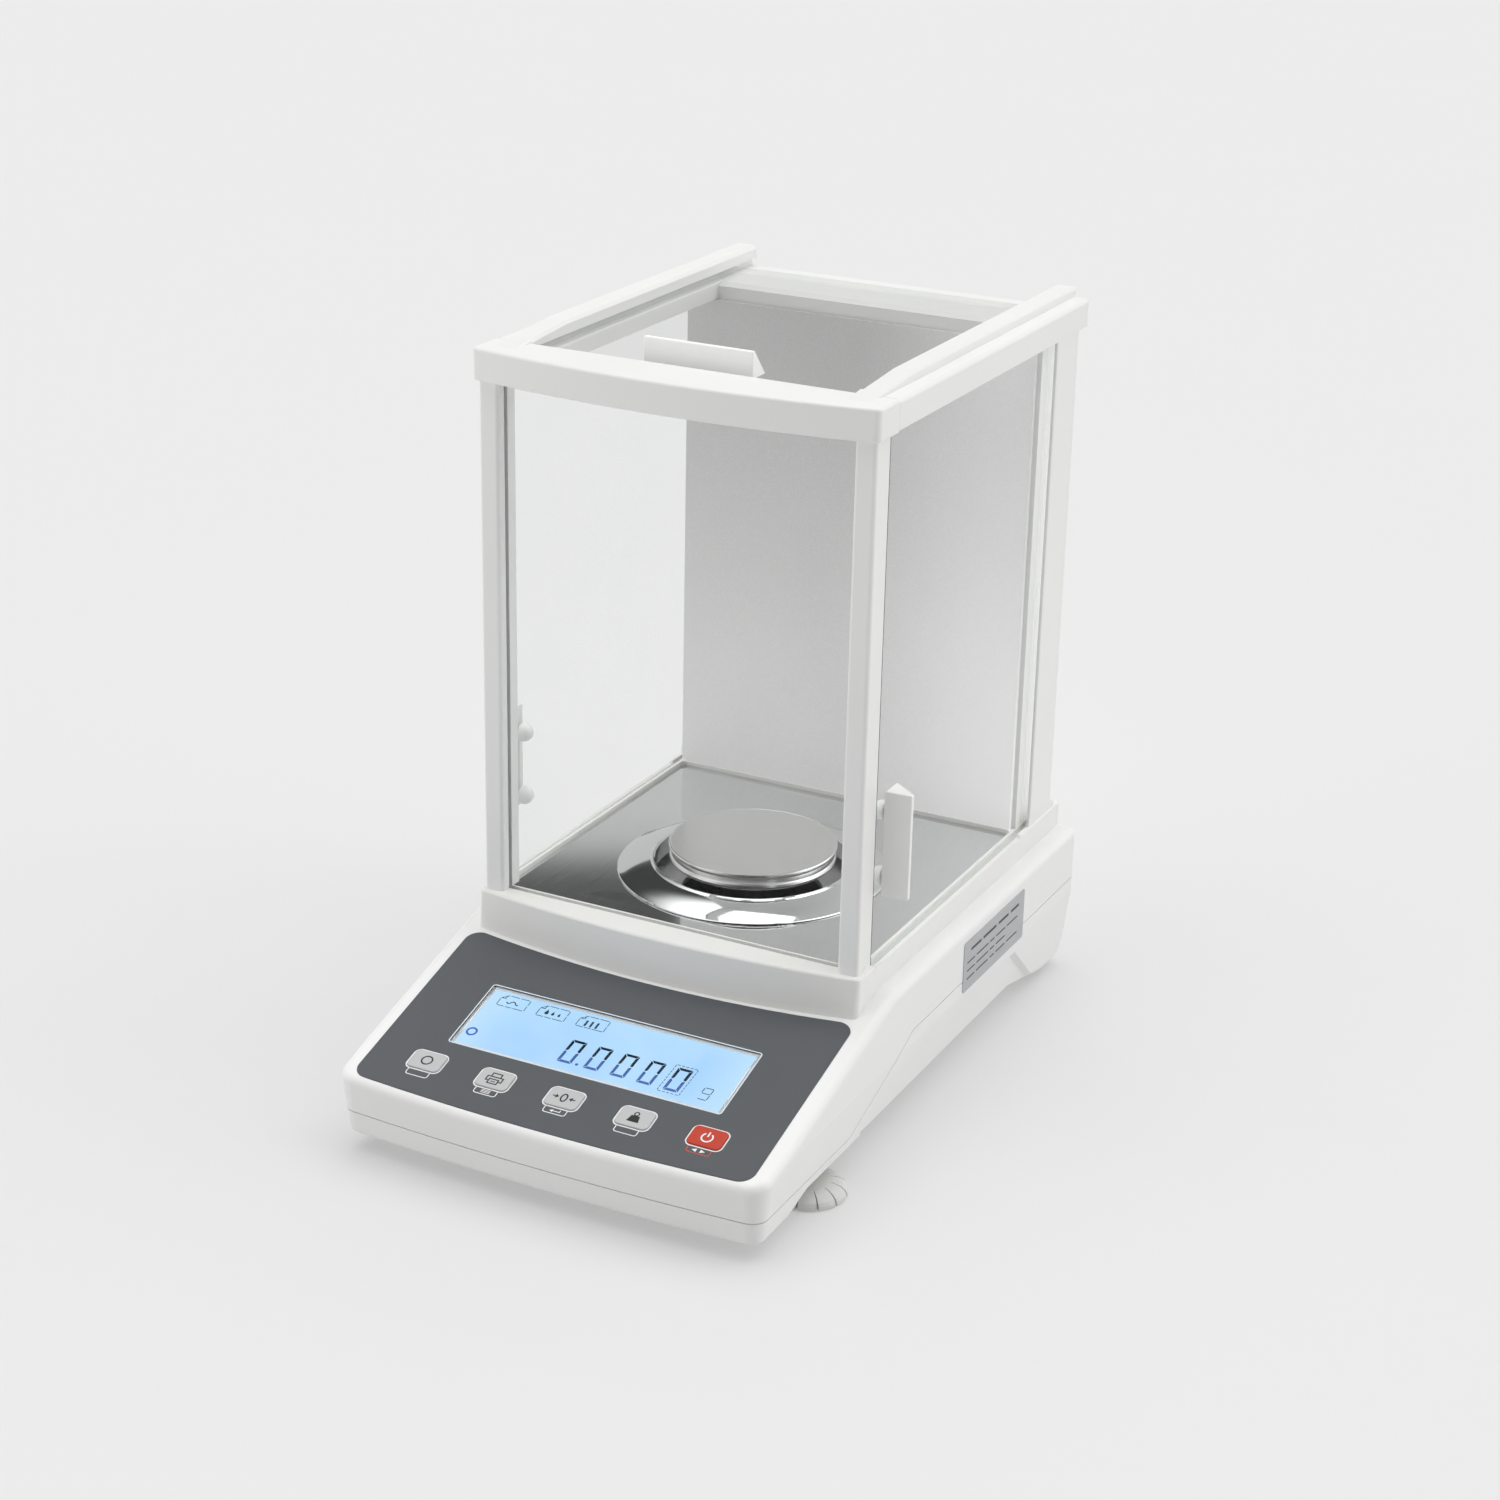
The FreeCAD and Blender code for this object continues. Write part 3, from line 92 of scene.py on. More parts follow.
# ------------------------------------------------------------ node helpers
class Nodes:
    """Short ways to add nodes to a tree; a value may be a number, a colour or a socket."""

    def __init__(self, tree):
        self.tree = tree
        tree.nodes.clear()

    def put(self, node, name, value):
        socket = node.inputs[name]
        if hasattr(value, "links"):
            self.tree.links.new(value, socket)
        else:
            socket.default_value = value

    def node(self, kind, inputs={}, **attributes):
        new = self.tree.nodes.new(kind)
        for name, value in attributes.items():
            setattr(new, name, value)
        for name, value in inputs.items():
            self.put(new, name, value)
        return new

    def axes(self):
        return self.node("ShaderNodeSeparateXYZ", {0: self.place}).outputs

    def math(self, operation, a, b=0.0):
        return self.node("ShaderNodeMath", {0: a, 1: b}, operation=operation).outputs[0]

    def plus(self, a, b):
        return self.math("ADD", a, b)

    def minus(self, a, b):
        return self.math("SUBTRACT", a, b)

    def times(self, a, b):
        return self.math("MULTIPLY", a, b)

    def vector(self, operation, inputs, out="Vector"):
        return self.node("ShaderNodeVectorMath", inputs, operation=operation).outputs[out]

    def remap(self, value, span=(0.3, 0.7), to=(0.0, 1.0), smooth=False):
        """Map span to the range given by to; the default span is the bulk of a noise."""
        return self.node("ShaderNodeMapRange", {
            "Value": value, "From Min": span[0], "From Max": span[1],
            "To Min": to[0], "To Max": to[1],
        }, interpolation_type="SMOOTHSTEP" if smooth else "LINEAR").outputs["Result"]


class Material(Nodes):
    def __init__(self, name):
        self.material = bpy.data.materials.new(name)
        self.material.use_nodes = True
        super().__init__(self.material.node_tree)
        self.out = self.node("ShaderNodeOutputMaterial")
        self.place = self.node("ShaderNodeTexCoord").outputs["Object"]

    def noise(self, scale, detail=2.0, rough=0.5, distort=0.0, at=None):
        return self.node("ShaderNodeTexNoise", {
            "Vector": self.place if at is None else at, "Scale": scale,
            "Detail": detail, "Roughness": rough, "Distortion": distort,
        }).outputs["Fac"]

    def mix(self, factor, a, b):
        inputs = {"Factor": factor, 6: a, 7: b}
        return self.node("ShaderNodeMix", inputs, data_type="RGBA").outputs[2]

    def mottle(self, noise, colour, low, high):
        """One colour, scaled from low to high by a noise."""
        return self.mix(self.remap(noise), shade(colour, low), shade(colour, high))

    def bump(self, height, strength, distance):
        inputs = {"Strength": strength, "Distance": distance, "Height": height}
        return self.node("ShaderNodeBump", inputs).outputs["Normal"]

    def stretched(self, scale_y):
        """Place squeezed in y, which draws a noise out into lines along y."""
        inputs = {"Vector": self.place, "Scale": (1.0, scale_y, 1.0)}
        return self.node("ShaderNodeMapping", inputs).outputs[0]

    def ray(self, kind):
        return self.node("ShaderNodeLightPath").outputs[kind]

    def principled(self, colour, rough, metal=0.0, **more):
        inputs = {"Base Color": colour, "Roughness": rough, "Metallic": metal}
        inputs.update({name.replace("_", " "): value for name, value in more.items()})
        return self.node("ShaderNodeBsdfPrincipled", inputs)

    def emission(self, colour, strength):
        return self.node("ShaderNodeEmission", {"Color": colour, "Strength": strength})

    def blend(self, factor, a, b):
        inputs = {0: factor, 1: a.outputs[0], 2: b.outputs[0]}
        return self.node("ShaderNodeMixShader", inputs)

    def done(self, shader):
        self.put(self.out, "Surface", shader.outputs[0])
        return self.material


# ------------------------------------------------------------ families of finishes
def plastic(name, colour, rough, grain, var, spec=0.5):
    """Moulded plastic: faint flow clouding, fine grain, uneven gloss.

    grain is the bump strength, var the spread of the clouding, spec the specular level."""
    m = Material(name)
    cloud = m.noise(9.0, detail=3.0, rough=0.55)
    fine = m.noise(260.0, rough=0.6)
    height = m.noise(2600.0, rough=0.55)
    base = m.mix(m.remap(cloud, span=(0.35, 0.65)),
                 shade(colour, 1.0 - var), shade(colour, 1.0 + var * 0.6))
    base = m.mix(m.remap(fine, span=(0.62, 0.80), to=(0.0, 0.10)), base, shade(colour, 0.90))
    gloss = m.plus(m.remap(cloud, to=(rough - 0.03, rough + 0.03)),
                   m.remap(fine, to=(-0.02, 0.02)))
    return m.done(m.principled(base, gloss, Specular_IOR_Level=spec,
                               Normal=m.bump(height, strength=grain, distance=0.00006)))


def ring_place(m, axis):
    """Radius and a little of the angle round an upright axis, for grain in rings."""
    x, y, _ = m.axes()
    dx = m.minus(x, axis[0])
    dy = m.minus(y, axis[1])
    radius = m.math("SQRT", m.plus(m.times(dx, dx), m.times(dy, dy)))
    angle = m.times(m.math("ARCTAN2", dy, dx), 0.0015)
    return m.node("ShaderNodeCombineXYZ", {0: radius, 1: angle}).outputs[0]


def metal(name, colour, rough, grain, wave=0.0, vary=0.05, axis=None):
    """Sheet or turned metal with grain along y, or in rings round axis (x, y).

    grain and wave are heights of fine lines and broad waves, vary the spread of gloss."""
    m = Material(name)
    place = m.stretched(0.02) if axis is None else ring_place(m, axis)
    lines = m.noise(2600.0, detail=3.0, rough=0.6, at=place)
    broad = m.noise(7.0)
    smear = m.noise(38.0, detail=3.0, rough=0.6, distort=0.6)
    base = m.mottle(lines, colour, low=0.97, high=1.02)
    gloss = m.plus(m.remap(lines, to=(rough - vary, rough + vary)),
                   m.remap(smear, span=(0.5, 0.8), to=(0.0, vary)))
    height = m.plus(m.times(lines, grain), m.times(broad, wave))
    return m.done(m.principled(base, gloss, metal=1.0,
                               Normal=m.bump(height, strength=1.0, distance=0.001)))


def glass(name, through=(0.993, 0.995, 0.994), shine=0.35):
    """Clear pane: light passes straight through, with a faint mirror film on top.

    Only camera rays on front faces see the film, so that panes light the inside evenly."""
    m = Material(name)
    smear = m.noise(20.0, detail=4.0, rough=0.6, distort=0.8)
    dust = m.noise(700.0, rough=0.6)
    r, g, b = through
    smeared = (r * 0.994, g * 0.995, b * 0.995, 1)
    colour = m.mix(m.remap(smear), (r, g, b, 1), smeared)
    clear = m.node("ShaderNodeBsdfTransparent", {"Color": colour})
    film_rough = m.remap(smear, span=(0.45, 0.85), to=(0.0, 0.03))
    film = m.node("ShaderNodeBsdfGlossy", {"Color": (1, 1, 1, 1), "Roughness": film_rough})
    factor = m.times(m.node("ShaderNodeFresnel", {"IOR": 1.5}).outputs[0], shine)
    factor = m.plus(factor, m.remap(dust, span=(0.62, 0.85), to=(0.0, 0.004)))
    factor = m.times(factor, m.ray("Is Camera Ray"))
    backfacing = m.node("ShaderNodeNewGeometry").outputs["Backfacing"]
    factor = m.times(factor, m.minus(1.0, backfacing))
    return m.done(m.blend(factor, clear, film))


def glass_edge(name, colour, solid):
    """Polished pane edge, greenish grey; solid is the share that is not clear. Its colour is
    painted: a dark copy paints shade on an edge, a pale copy paints light on it.
    """
    m = Material(name)
    n = m.noise(320.0, detail=3.0, rough=0.6)
    body = m.principled(m.mottle(n, colour, low=0.95, high=1.05), m.remap(n, to=(0.12, 0.16)))
    clear = m.node("ShaderNodeBsdfTransparent", {"Color": (0.95, 0.963, 0.957, 1)})
    share = m.remap(n, to=(solid * 0.985, min(1.0, solid * 1.015)))
    factor = m.times(share, m.minus(1.0, m.ray("Is Shadow Ray")))
    return m.done(m.blend(factor, clear, body))


def ink(name, colour, var, rough=0.5):
    """Screen print: solid colour, darkened by up to var, with the uneven gloss of ink."""
    m = Material(name)
    n = m.noise(1400.0, rough=0.6)
    base = m.mix(m.remap(n, span=(0.3, 0.75)), shade(colour, 1.0), shade(colour, 1.0 - var))
    return m.done(m.principled(base, m.remap(n, to=(rough - 0.04, rough + 0.04)),
                               Normal=m.bump(n, strength=0.05, distance=0.00003)))


# ------------------------------------------------------------ single finishes
def overlay_film():
    """Dark grey film with a fine velvet texture."""
    m = Material("overlay_film")
    velvet = m.noise(3200.0, rough=0.6)
    cloud = m.noise(14.0)
    grey = (0.088, 0.094, 0.104, 1)
    base = m.mottle(cloud, grey, low=0.985, high=1.015)
    base = m.mix(m.remap(velvet, span=(0.35, 0.75), to=(0.0, 0.35)), base, shade(grey, 1.10))
    return m.done(m.principled(base, m.remap(velvet, to=(0.50, 0.60)), Specular_IOR_Level=0.35,
                               Normal=m.bump(velvet, strength=0.18, distance=0.00005)))


def lcd_face():
    """Backlit display: pale blue glow, a little brighter towards both ends."""
    m = Material("lcd_backlit")
    off_centre = m.math("ABSOLUTE", m.axes()[0])
    ends = m.remap(off_centre, span=(0.045, 0.067), smooth=True)
    cloud = m.noise(26.0)
    colour = m.mix(m.remap(cloud, span=(0.35, 0.7)),
                   display_colour(172, 214, 251), display_colour(186, 224, 253))
    colour = m.mix(m.times(ends, 0.45), colour, display_colour(205, 236, 255))
    speckle = m.noise(1900.0, detail=1.0)
    colour = m.mix(m.remap(speckle, span=(0.4, 0.7), to=(0.0, 0.08)),
                   colour, display_colour(140, 180, 215))
    glow = m.emission(colour, 1.10)
    surface = m.principled(display_colour(40, 60, 80), 0.35)
    return m.done(m.blend(0.06, glow, surface))


def back_sheet():
    """Glossy grey sheet behind the pan, with painted light: its colour and its glow are lighter
    low down and to the right, where light from the front and off the mirror plate falls.
    """
    m = Material("back_sheet_grey_painted_light")
    x, _, z = m.axes()
    cloud = m.noise(6.0)
    fine = m.noise(1800.0)
    # painted light: the sheet is made lighter low down and to the right
    low = m.remap(z, span=(0.09, 0.33), to=(1.0, 0.0), smooth=True)
    right = m.remap(x, span=(-0.02, 0.09), smooth=True)
    light = m.math("MINIMUM", m.plus(m.times(low, 0.55), m.times(right, 0.45)), 1.0)
    light = m.plus(light, m.remap(cloud, to=(-0.06, 0.06)))
    base = m.mix(light, (0.50, 0.50, 0.495, 1), (0.86, 0.86, 0.855, 1))
    return m.done(m.principled(
        base, m.remap(fine, to=(0.24, 0.30)),
        Normal=m.bump(fine, strength=0.03, distance=0.00004),
        # painted glow, stronger where the painted light is
        Emission_Color=(1.0, 1.0, 0.995, 1),
        Emission_Strength=m.remap(light, span=(0.0, 1.0), to=(0.075, 0.22))))


def spun_ring():
    """Mirror finish of the draught ring: the slope grows evenly outwards from the axis."""
    m = Material("mirror_spun_ring")
    off = m.vector("SUBTRACT", {0: m.place, 1: (*RING_AXIS, 0.0)})
    flat = m.vector("MULTIPLY", {0: off, 1: (1.0, 1.0, 0.0)})
    radius = m.vector("LENGTH", {0: flat}, out="Value")
    outward = m.vector("NORMALIZE", {0: flat})
    slope = m.remap(radius, span=(0.0495, 0.0615), to=(0.13, 0.35))
    tilt = m.vector("SCALE", {0: outward, "Scale": slope})
    up = m.vector("ADD", {0: tilt, 1: (0.0, 0.0, 1.0)})
    normal = m.vector("NORMALIZE", {0: up})
    n = m.noise(60.0)
    base = m.mix(n, (0.73, 0.735, 0.74, 1), (0.75, 0.755, 0.76, 1))
    gloss = m.remap(n, to=(0.05, 0.075))
    return m.done(m.principled(base, gloss, metal=1.0, Normal=normal))


def board_green():
    """Solder resist over copper tracks."""
    m = Material("circuit_board")
    cells = m.node("ShaderNodeTexVoronoi", {"Vector": m.place, "Scale": 220.0},
                   feature="DISTANCE_TO_EDGE")
    specks = m.noise(500.0)
    track = m.remap(cells.outputs["Distance"], span=(0.03, 0.06), to=(1.0, 0.0))
    base = m.mix(track, (0.012, 0.12, 0.045, 1), (0.03, 0.20, 0.09, 1))
    base = m.mix(m.remap(specks, span=(0.62, 0.7)), base, (0.45, 0.36, 0.16, 1))
    return m.done(m.principled(base, 0.35, Normal=m.bump(track, strength=0.2, distance=0.0001)))


def foil():
    """Brushed silver label foil."""
    m = Material("label_foil")
    n = m.noise(2400.0, detail=3.0, rough=0.6, at=m.stretched(0.03))
    base = m.mix(m.remap(n), (0.44, 0.445, 0.46, 1), (0.55, 0.555, 0.57, 1))
    return m.done(m.principled(base, m.remap(n, to=(0.38, 0.48)), metal=0.55,
                               Normal=m.bump(n, strength=0.05, distance=0.0001)))


def vial_liquid():
    """Clear yellow-green liquid."""
    m = Material("level_vial")
    base = m.mix(m.noise(90.0), (0.62, 0.85, 0.12, 1), (0.72, 0.92, 0.22, 1))
    return m.done(m.principled(base, 0.03, Transmission_Weight=0.75, IOR=1.45))


def side_painted_glow():
    """White with a painted glow that grows towards the back: painted light on side faces that lie
    in the shade of the narrow gaps behind the panes.
    """
    m = Material("frame_white_lit_side")
    y = m.axes()[1]
    n = m.noise(900.0)
    return m.done(m.principled(
        (0.85, 0.85, 0.84, 1), m.remap(n, to=(0.33, 0.41)),
        Normal=m.bump(n, strength=0.05, distance=0.00005),
        # painted glow, lighter towards the back of the gap
        Emission_Color=(1.0, 1.0, 0.99, 1),
        Emission_Strength=m.remap(y, span=(0.1275, 0.1385), to=(0.08, 0.26), smooth=True)))


# ------------------------------------------------------------ finishes by material slot
FINISHES = {
    "white_abs": plastic("white_abs_moulded", (0.845, 0.845, 0.84), 0.36, grain=0.10, var=0.012),
    "warm_white": plastic("warm_white_moulded", (0.845, 0.84, 0.82), 0.40, grain=0.10, var=0.014),
    "frame_white": plastic("frame_white_moulded", (0.85, 0.85, 0.84), 0.33, grain=0.08, var=0.012),
    "clear_glass": glass("float_glass"),
    "mirror_steel": metal("mirror_steel_sheet", (0.74, 0.745, 0.75), 0.045,
                          grain=0.0006, wave=0.02, vary=0.012),
    "pan_steel": metal("turned_pan_steel", (0.79, 0.79, 0.785), 0.24,
                       grain=0.00003, vary=0.012, axis=RING_AXIS),
    "key_grey": plastic("key_cap_grey", (0.50, 0.505, 0.51), 0.42, grain=0.12, var=0.02),
    "key_red": plastic("key_cap_red", (0.50, 0.028, 0.003), 0.40, grain=0.10, var=0.03),
    "lcd_glass": glass("display_window_clear", through=(0.996, 0.998, 1.0), shine=0.12),
    "black": plastic("black_moulded", (0.022, 0.022, 0.024), 0.42, grain=0.25, var=0.05),
    "white_plastic": plastic("light_guide", (0.78, 0.80, 0.82), 0.25, grain=0.04, var=0.01),
    "cast_alu": metal("machined_aluminium", (0.66, 0.67, 0.68), 0.34, grain=0.004),
    "steel": metal("machined_steel", (0.52, 0.52, 0.53), 0.28, grain=0.003),
    "zinc": metal("zinc_screw", (0.62, 0.62, 0.60), 0.30, grain=0.003),
    "brass": metal("turned_brass", (0.70, 0.52, 0.24), 0.26, grain=0.003, vary=0.04),
    "rubber": plastic("black_rubber", (0.018, 0.018, 0.019), 0.72, grain=0.35, var=0.08, spec=0.3),
    "knob_grey": plastic("knob_moulded", (0.66, 0.66, 0.65), 0.45, grain=0.14, var=0.02),
    "copper": metal("wound_copper", (0.62, 0.30, 0.14), 0.35, grain=0.006),
    "cable": plastic("flat_cable_grey", (0.52, 0.53, 0.55), 0.5, grain=0.1, var=0.03),
    "overlay_grey": overlay_film(),
    "lcd": lcd_face(),
    "grey_panel": back_sheet(),
    "board": board_green(),
    "plate_silver": foil(),
    "vial": vial_liquid(),
}

slot_of = {part["node"]: part["material_slot"] for part in frame["record"]["subparts"]}
for name, obj in nodes.items():
    obj.data.materials.clear()
    obj.data.materials.append(FINISHES[slot_of[name]])


# ------------------------------------------------------------ faces with a finish of their own
def finish_panes():
    """Broad faces of the panes stay clear, narrow ones become cut edges, some with painted shade
    and some with painted light.
    """
    # edge colours: dark is painted shade, pale and faint are painted light
    dark = glass_edge("pane_edge_painted_shade", (0.080, 0.092, 0.088), solid=0.86)
    pale = glass_edge("pane_edge_painted_light", (0.56, 0.585, 0.575), solid=0.22)
    faint = glass_edge("pane_edge_faint_painted_light", (0.80, 0.81, 0.805), solid=0.10)
    top_clear = glass("float_glass_top", through=(0.950, 0.952, 0.950), shine=0.25)
    thin_axis = {"front_glass": 1, "side_door_glass_left": 0, "side_door_glass_right": 0,
                 "top_door_glass": 2}
    for name, thin in thin_axis.items():
        mesh = nodes[name].data
        is_top = name == "top_door_glass"
        if is_top:
            mesh.materials.clear()
            mesh.materials.append(top_clear)
        mesh.materials.append(dark)
        mesh.materials.append(faint if is_top else pale)
        for face in mesh.polygons:
            normal = face.normal
            # painted shade towards the front, and on the left edge of the front pane; painted
            # light on the other narrow faces
            if abs(normal[thin]) > 0.80:
                face.material_index = 0
            elif normal[1] < -0.3 or (thin == 1 and normal[0] < -0.3):
                face.material_index = 1
            else:
                face.material_index = 2


def finish_rear_sides():
    """Painted glow on both sides of the rear column, and on the inner or outer side of each post.
    """
    lit = side_painted_glow()
    # sign of the x normal that gets the painted glow; 0 takes both
    for name, sign in (("rear_column", 0), ("rear_post_left", 1), ("rear_post_right", -1)):
        mesh = nodes[name].data
        mesh.materials.append(lit)
        for face in mesh.polygons:
            across = face.normal[0]
            if abs(across) > 0.9 and (sign == 0 or across * sign > 0):
                face.material_index = 1


def finish_ring():
    """Upward faces of the draught ring, in a band of radii."""
    mesh = nodes["draft_ring"].data
    mesh.materials.append(spun_ring())
    for face in mesh.polygons:
        x, y, _ = face.center
        radius = math.hypot(x - RING_AXIS[0], y - RING_AXIS[1])
        if face.normal[2] > 0.88 and 0.0492 < radius < 0.0635:
            face.material_index = 1


def finish_handles_painted_glow():
    """Handle mouldings get a little painted glow: painted light that lightens them, though they
    give off no light of their own.
    """
    glow = {"top_door_handle": 0.14, "side_door_handle_left": 0.05,
            "side_door_handle_right": 0.05}
    for name, strength in glow.items():
        slots = nodes[name].data.materials
        material = slots[0].copy()
        material.name = slots[0].name + "_" + name
        for node in material.node_tree.nodes:
            if node.type == "BSDF_PRINCIPLED":
                # painted glow
                node.inputs["Emission Color"].default_value = (1.0, 0.995, 0.98, 1)
                node.inputs["Emission Strength"].default_value = strength
        slots[0] = material


finish_panes()
finish_rear_sides()
finish_ring()
finish_handles_painted_glow()

# ------------------------------------------------------------ flat outlines, mm
INK_WHITE = ink("ink_white", display_colour(238, 239, 240), var=0.03)
INK_BLACK = ink("ink_black", display_colour(22, 22, 24), var=0.10)
INK_RED = ink("ink_red", display_colour(205, 72, 40), var=0.05)
INK_GREY = ink("ink_dark_grey", display_colour(62, 64, 70), var=0.08)


def unit(start, end):
    dx, dy = end[0] - start[0], end[1] - start[1]
    length = math.hypot(dx, dy) or 1.0
    return dx / length, dy / length


def ribbon(points, width, closed=False):
    """Quads that follow a path with mitred corners."""
    count = len(points)
    left, right = [], []
    for i, point in enumerate(points):
        ways = []
        if i > 0 or closed:
            ways.append(unit(points[i - 1], point))
        if i < count - 1 or closed:
            ways.append(unit(point, points[(i + 1) % count]))
        if len(ways) == 2:
            (ax, ay), (bx, by) = ways
            nx, ny = -(ay + by), ax + bx
            length = math.hypot(nx, ny) or 1.0
            nx, ny = nx / length, ny / length
            mitre = max(0.45, nx * -ay + ny * ax)
            nx, ny = nx / mitre, ny / mitre
        else:
            nx, ny = -ways[0][1], ways[0][0]
        left.append((point[0] + nx * width / 2, point[1] + ny * width / 2))
        right.append((point[0] - nx * width / 2, point[1] - ny * width / 2))
    return [[left[i], left[(i + 1) % count], right[(i + 1) % count], right[i]]
            for i in range(count if closed else count - 1)]


def moved(points, x, t):
    return [(x + px, t + pt) for px, pt in points]


def box(x0, x1, t0, t1):
    return [(x0, t0), (x1, t0), (x1, t1), (x0, t1)]


def rounded(x0, x1, t0, t1, r):
    """Rectangle with round corners of six steps each."""
    points = []
    corners = ((x1 - r, t0 + r, -90), (x1 - r, t1 - r, 0), (x0 + r, t1 - r, 90),
               (x0 + r, t0 + r, 180))
    for x, t, start in corners:
        for k in range(7):
            angle = math.radians(start + 90.0 * k / 6)
            points.append((x + r * math.cos(angle), t + r * math.sin(angle)))
    return points


def circle(x, t, r, steps=40, start=0.0, end=360.0):
    """Circle, or an arc that has its last point too."""
    count = steps if abs(end - start) >= 360 else steps + 1
    angles = [math.radians(start + (end - start) * k / steps) for k in range(count)]
    return [(x + r * math.cos(a), t + r * math.sin(a)) for a in angles]


def printed(name, outlines, material, height, body="base", place=panel_point):
    """A thin raised print: outlines in a face's own frame, with their top at height."""
    mesh = bpy.data.meshes.new(name)
    bm = bmesh.new()
    for outline in outlines:
        area = sum(outline[i - 1][0] * outline[i][1] - outline[i][0] * outline[i - 1][1]
                   for i in range(len(outline)))
        points = outline if area < 0 else outline[::-1]
        top = [bm.verts.new(place(x, t, height)) for x, t in points]
        low = [bm.verts.new(place(x, t, height - PRINT_THICK)) for x, t in points]
        bm.faces.new(top)
        bm.faces.new(low[::-1])
        for i in range(len(points)):
            j = (i + 1) % len(points)
            bm.faces.new((top[j], top[i], low[i], low[j]))
    bmesh.ops.remove_doubles(bm, verts=bm.verts, dist=1e-7)
    bmesh.ops.recalc_face_normals(bm, faces=bm.faces)
    bm.to_mesh(mesh)
    bm.free()
    mesh.materials.append(material)
    obj = bpy.data.objects.new(name, mesh)
    scene.collection.objects.link(obj)
    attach(obj, body)


# ------------------------------------------------------------ display read-out
DIGIT_X = [-16.6, -3.2, 10.1, 23.4, 36.7]
DIGIT_T = 50.6
DIGIT_HEIGHT, DIGIT_WIDTH = 14.8, 7.4
STROKE, STROKE_GAP = 1.45, 0.28
SLANT = 0.045
CARD_X, CARD_T, CARD_PITCH = -61.6, 34.6, 20.7
# broken outline of a card and its folded corner, (x, t) from the upper left corner
CARD_STROKES = [
    [(4.0, 0.0), (8.5, 0.0)], [(9.1, 0.0), (13.8, 0.0)],
    [(14.4, 0.2), (14.4, 3.2)], [(14.4, 3.9), (14.4, 7.0)],
    [(13.8, 7.2), (8.6, 7.2)], [(8.0, 7.2), (4.6, 7.2)], [(4.0, 7.2), (0.4, 7.2)],
    [(0.0, 6.9), (0.0, 2.6)],
    [(0.0, 2.2), (2.3, 2.2), (2.3, 0.0)], [(0.2, 2.1), (3.4, -0.1)],
]


def lcd_ink(name, top, low):
    """Switched-on segment, going from the colour top to low down the glass."""
    m = Material(name)
    y = m.axes()[1]
    down = m.remap(y, span=(panel_point(0, 50).y, panel_point(0, 66).y))
    n = m.noise(900.0)
    colour = m.mix(down, top, low)
    colour = m.mix(m.remap(n, to=(0.0, 0.15)), colour, low)
    return m.done(m.emission(colour, 0.85))


def slanted(points, foot):
    """Lean points to the right above the level foot."""
    return [(x - SLANT * (t - foot), t) for x, t in points]


def zero_segments(x):
    """Bevelled segments of a zero with its upper left corner at x: upper three, lower three."""
    s, g, middle = STROKE, STROKE_GAP, DIGIT_HEIGHT / 2.0
    bevel = s * 0.98
    inset = bevel + g * 0.4
    bar = [(g, 0), (DIGIT_WIDTH - g, 0), (DIGIT_WIDTH - inset, s), (inset, s)]
    side = [(0, g), (0, middle - g * 1.6), (s * 0.5, middle - g * 0.4),
            (s, middle - s * 0.55 - g * 0.4), (s, bevel + g * 0.9)]
    right_side = [(DIGIT_WIDTH - px, pt) for px, pt in side]
    upper = [bar, right_side, side]
    lower = [[(px, DIGIT_HEIGHT - pt) for px, pt in part] for part in (side, right_side, bar)]
    return [[moved(slanted(part, DIGIT_HEIGHT), x, DIGIT_T) for part in half]
            for half in (upper, lower)]


def dashed_box():
    """Dashed box round the last digit."""
    corners = [(35.6, 49.3), (46.4, 49.3), (45.6, 66.7), (34.8, 66.7)]
    shapes = []
    for i in range(4):
        (xa, ta), (xb, tb) = corners[i], corners[(i + 1) % 4]
        count = max(3, int(math.hypot(xb - xa, tb - ta) / 1.9))
        for j in range(count):
            ends = [(j + part) / count for part in (0.16, 0.84)]
            shapes += ribbon([(xa + (xb - xa) * u, ta + (tb - ta) * u) for u in ends], 0.34)
    return shapes


def unit_sign():
    """Unit sign built from six short strokes."""
    x, t, width, height = 54.0, 58.2, 4.3, 7.2
    strokes = (
        [(0.3, 0), (width, 0)], [(0, 0.3), (0, height * 0.42)],
        [(width, 0.3), (width, height * 0.45)],
        [(0.2, height * 0.48), (width - 0.2, height * 0.48)],
        [(width, height * 0.54), (width, height * 0.95)],
        [(0.1, height), (width - 0.2, height)],
    )
    shapes = []
    for stroke in strokes:
        shapes += ribbon(slanted(moved(stroke, x, t), t + height), 0.42)
    return shapes


def cards():
    """Three index cards that hold a wave, three drops and three bars."""
    shapes = []
    for k in range(3):
        for stroke in CARD_STROKES:
            shapes += ribbon(moved(stroke, CARD_X + CARD_PITCH * k, CARD_T), 0.36)
    wave = [(-57.8 + 0.45 * k, 38.6 + 0.9 * math.sin(k * 0.62)) for k in range(15)]
    shapes += ribbon(wave, 0.55)
    for x, r in ((-36.6, 1.0), (-33.4, 0.75), (-30.2, 0.65)):
        shapes.append([(x, 38.9 - 2.2 * r)] + circle(x, 39.1, r, steps=16, start=-20, end=200))
    for x in (-16.0, -13.2, -10.4):
        shapes.append(box(x - 0.55, x + 0.55, 37.2, 41.0))
    return shapes


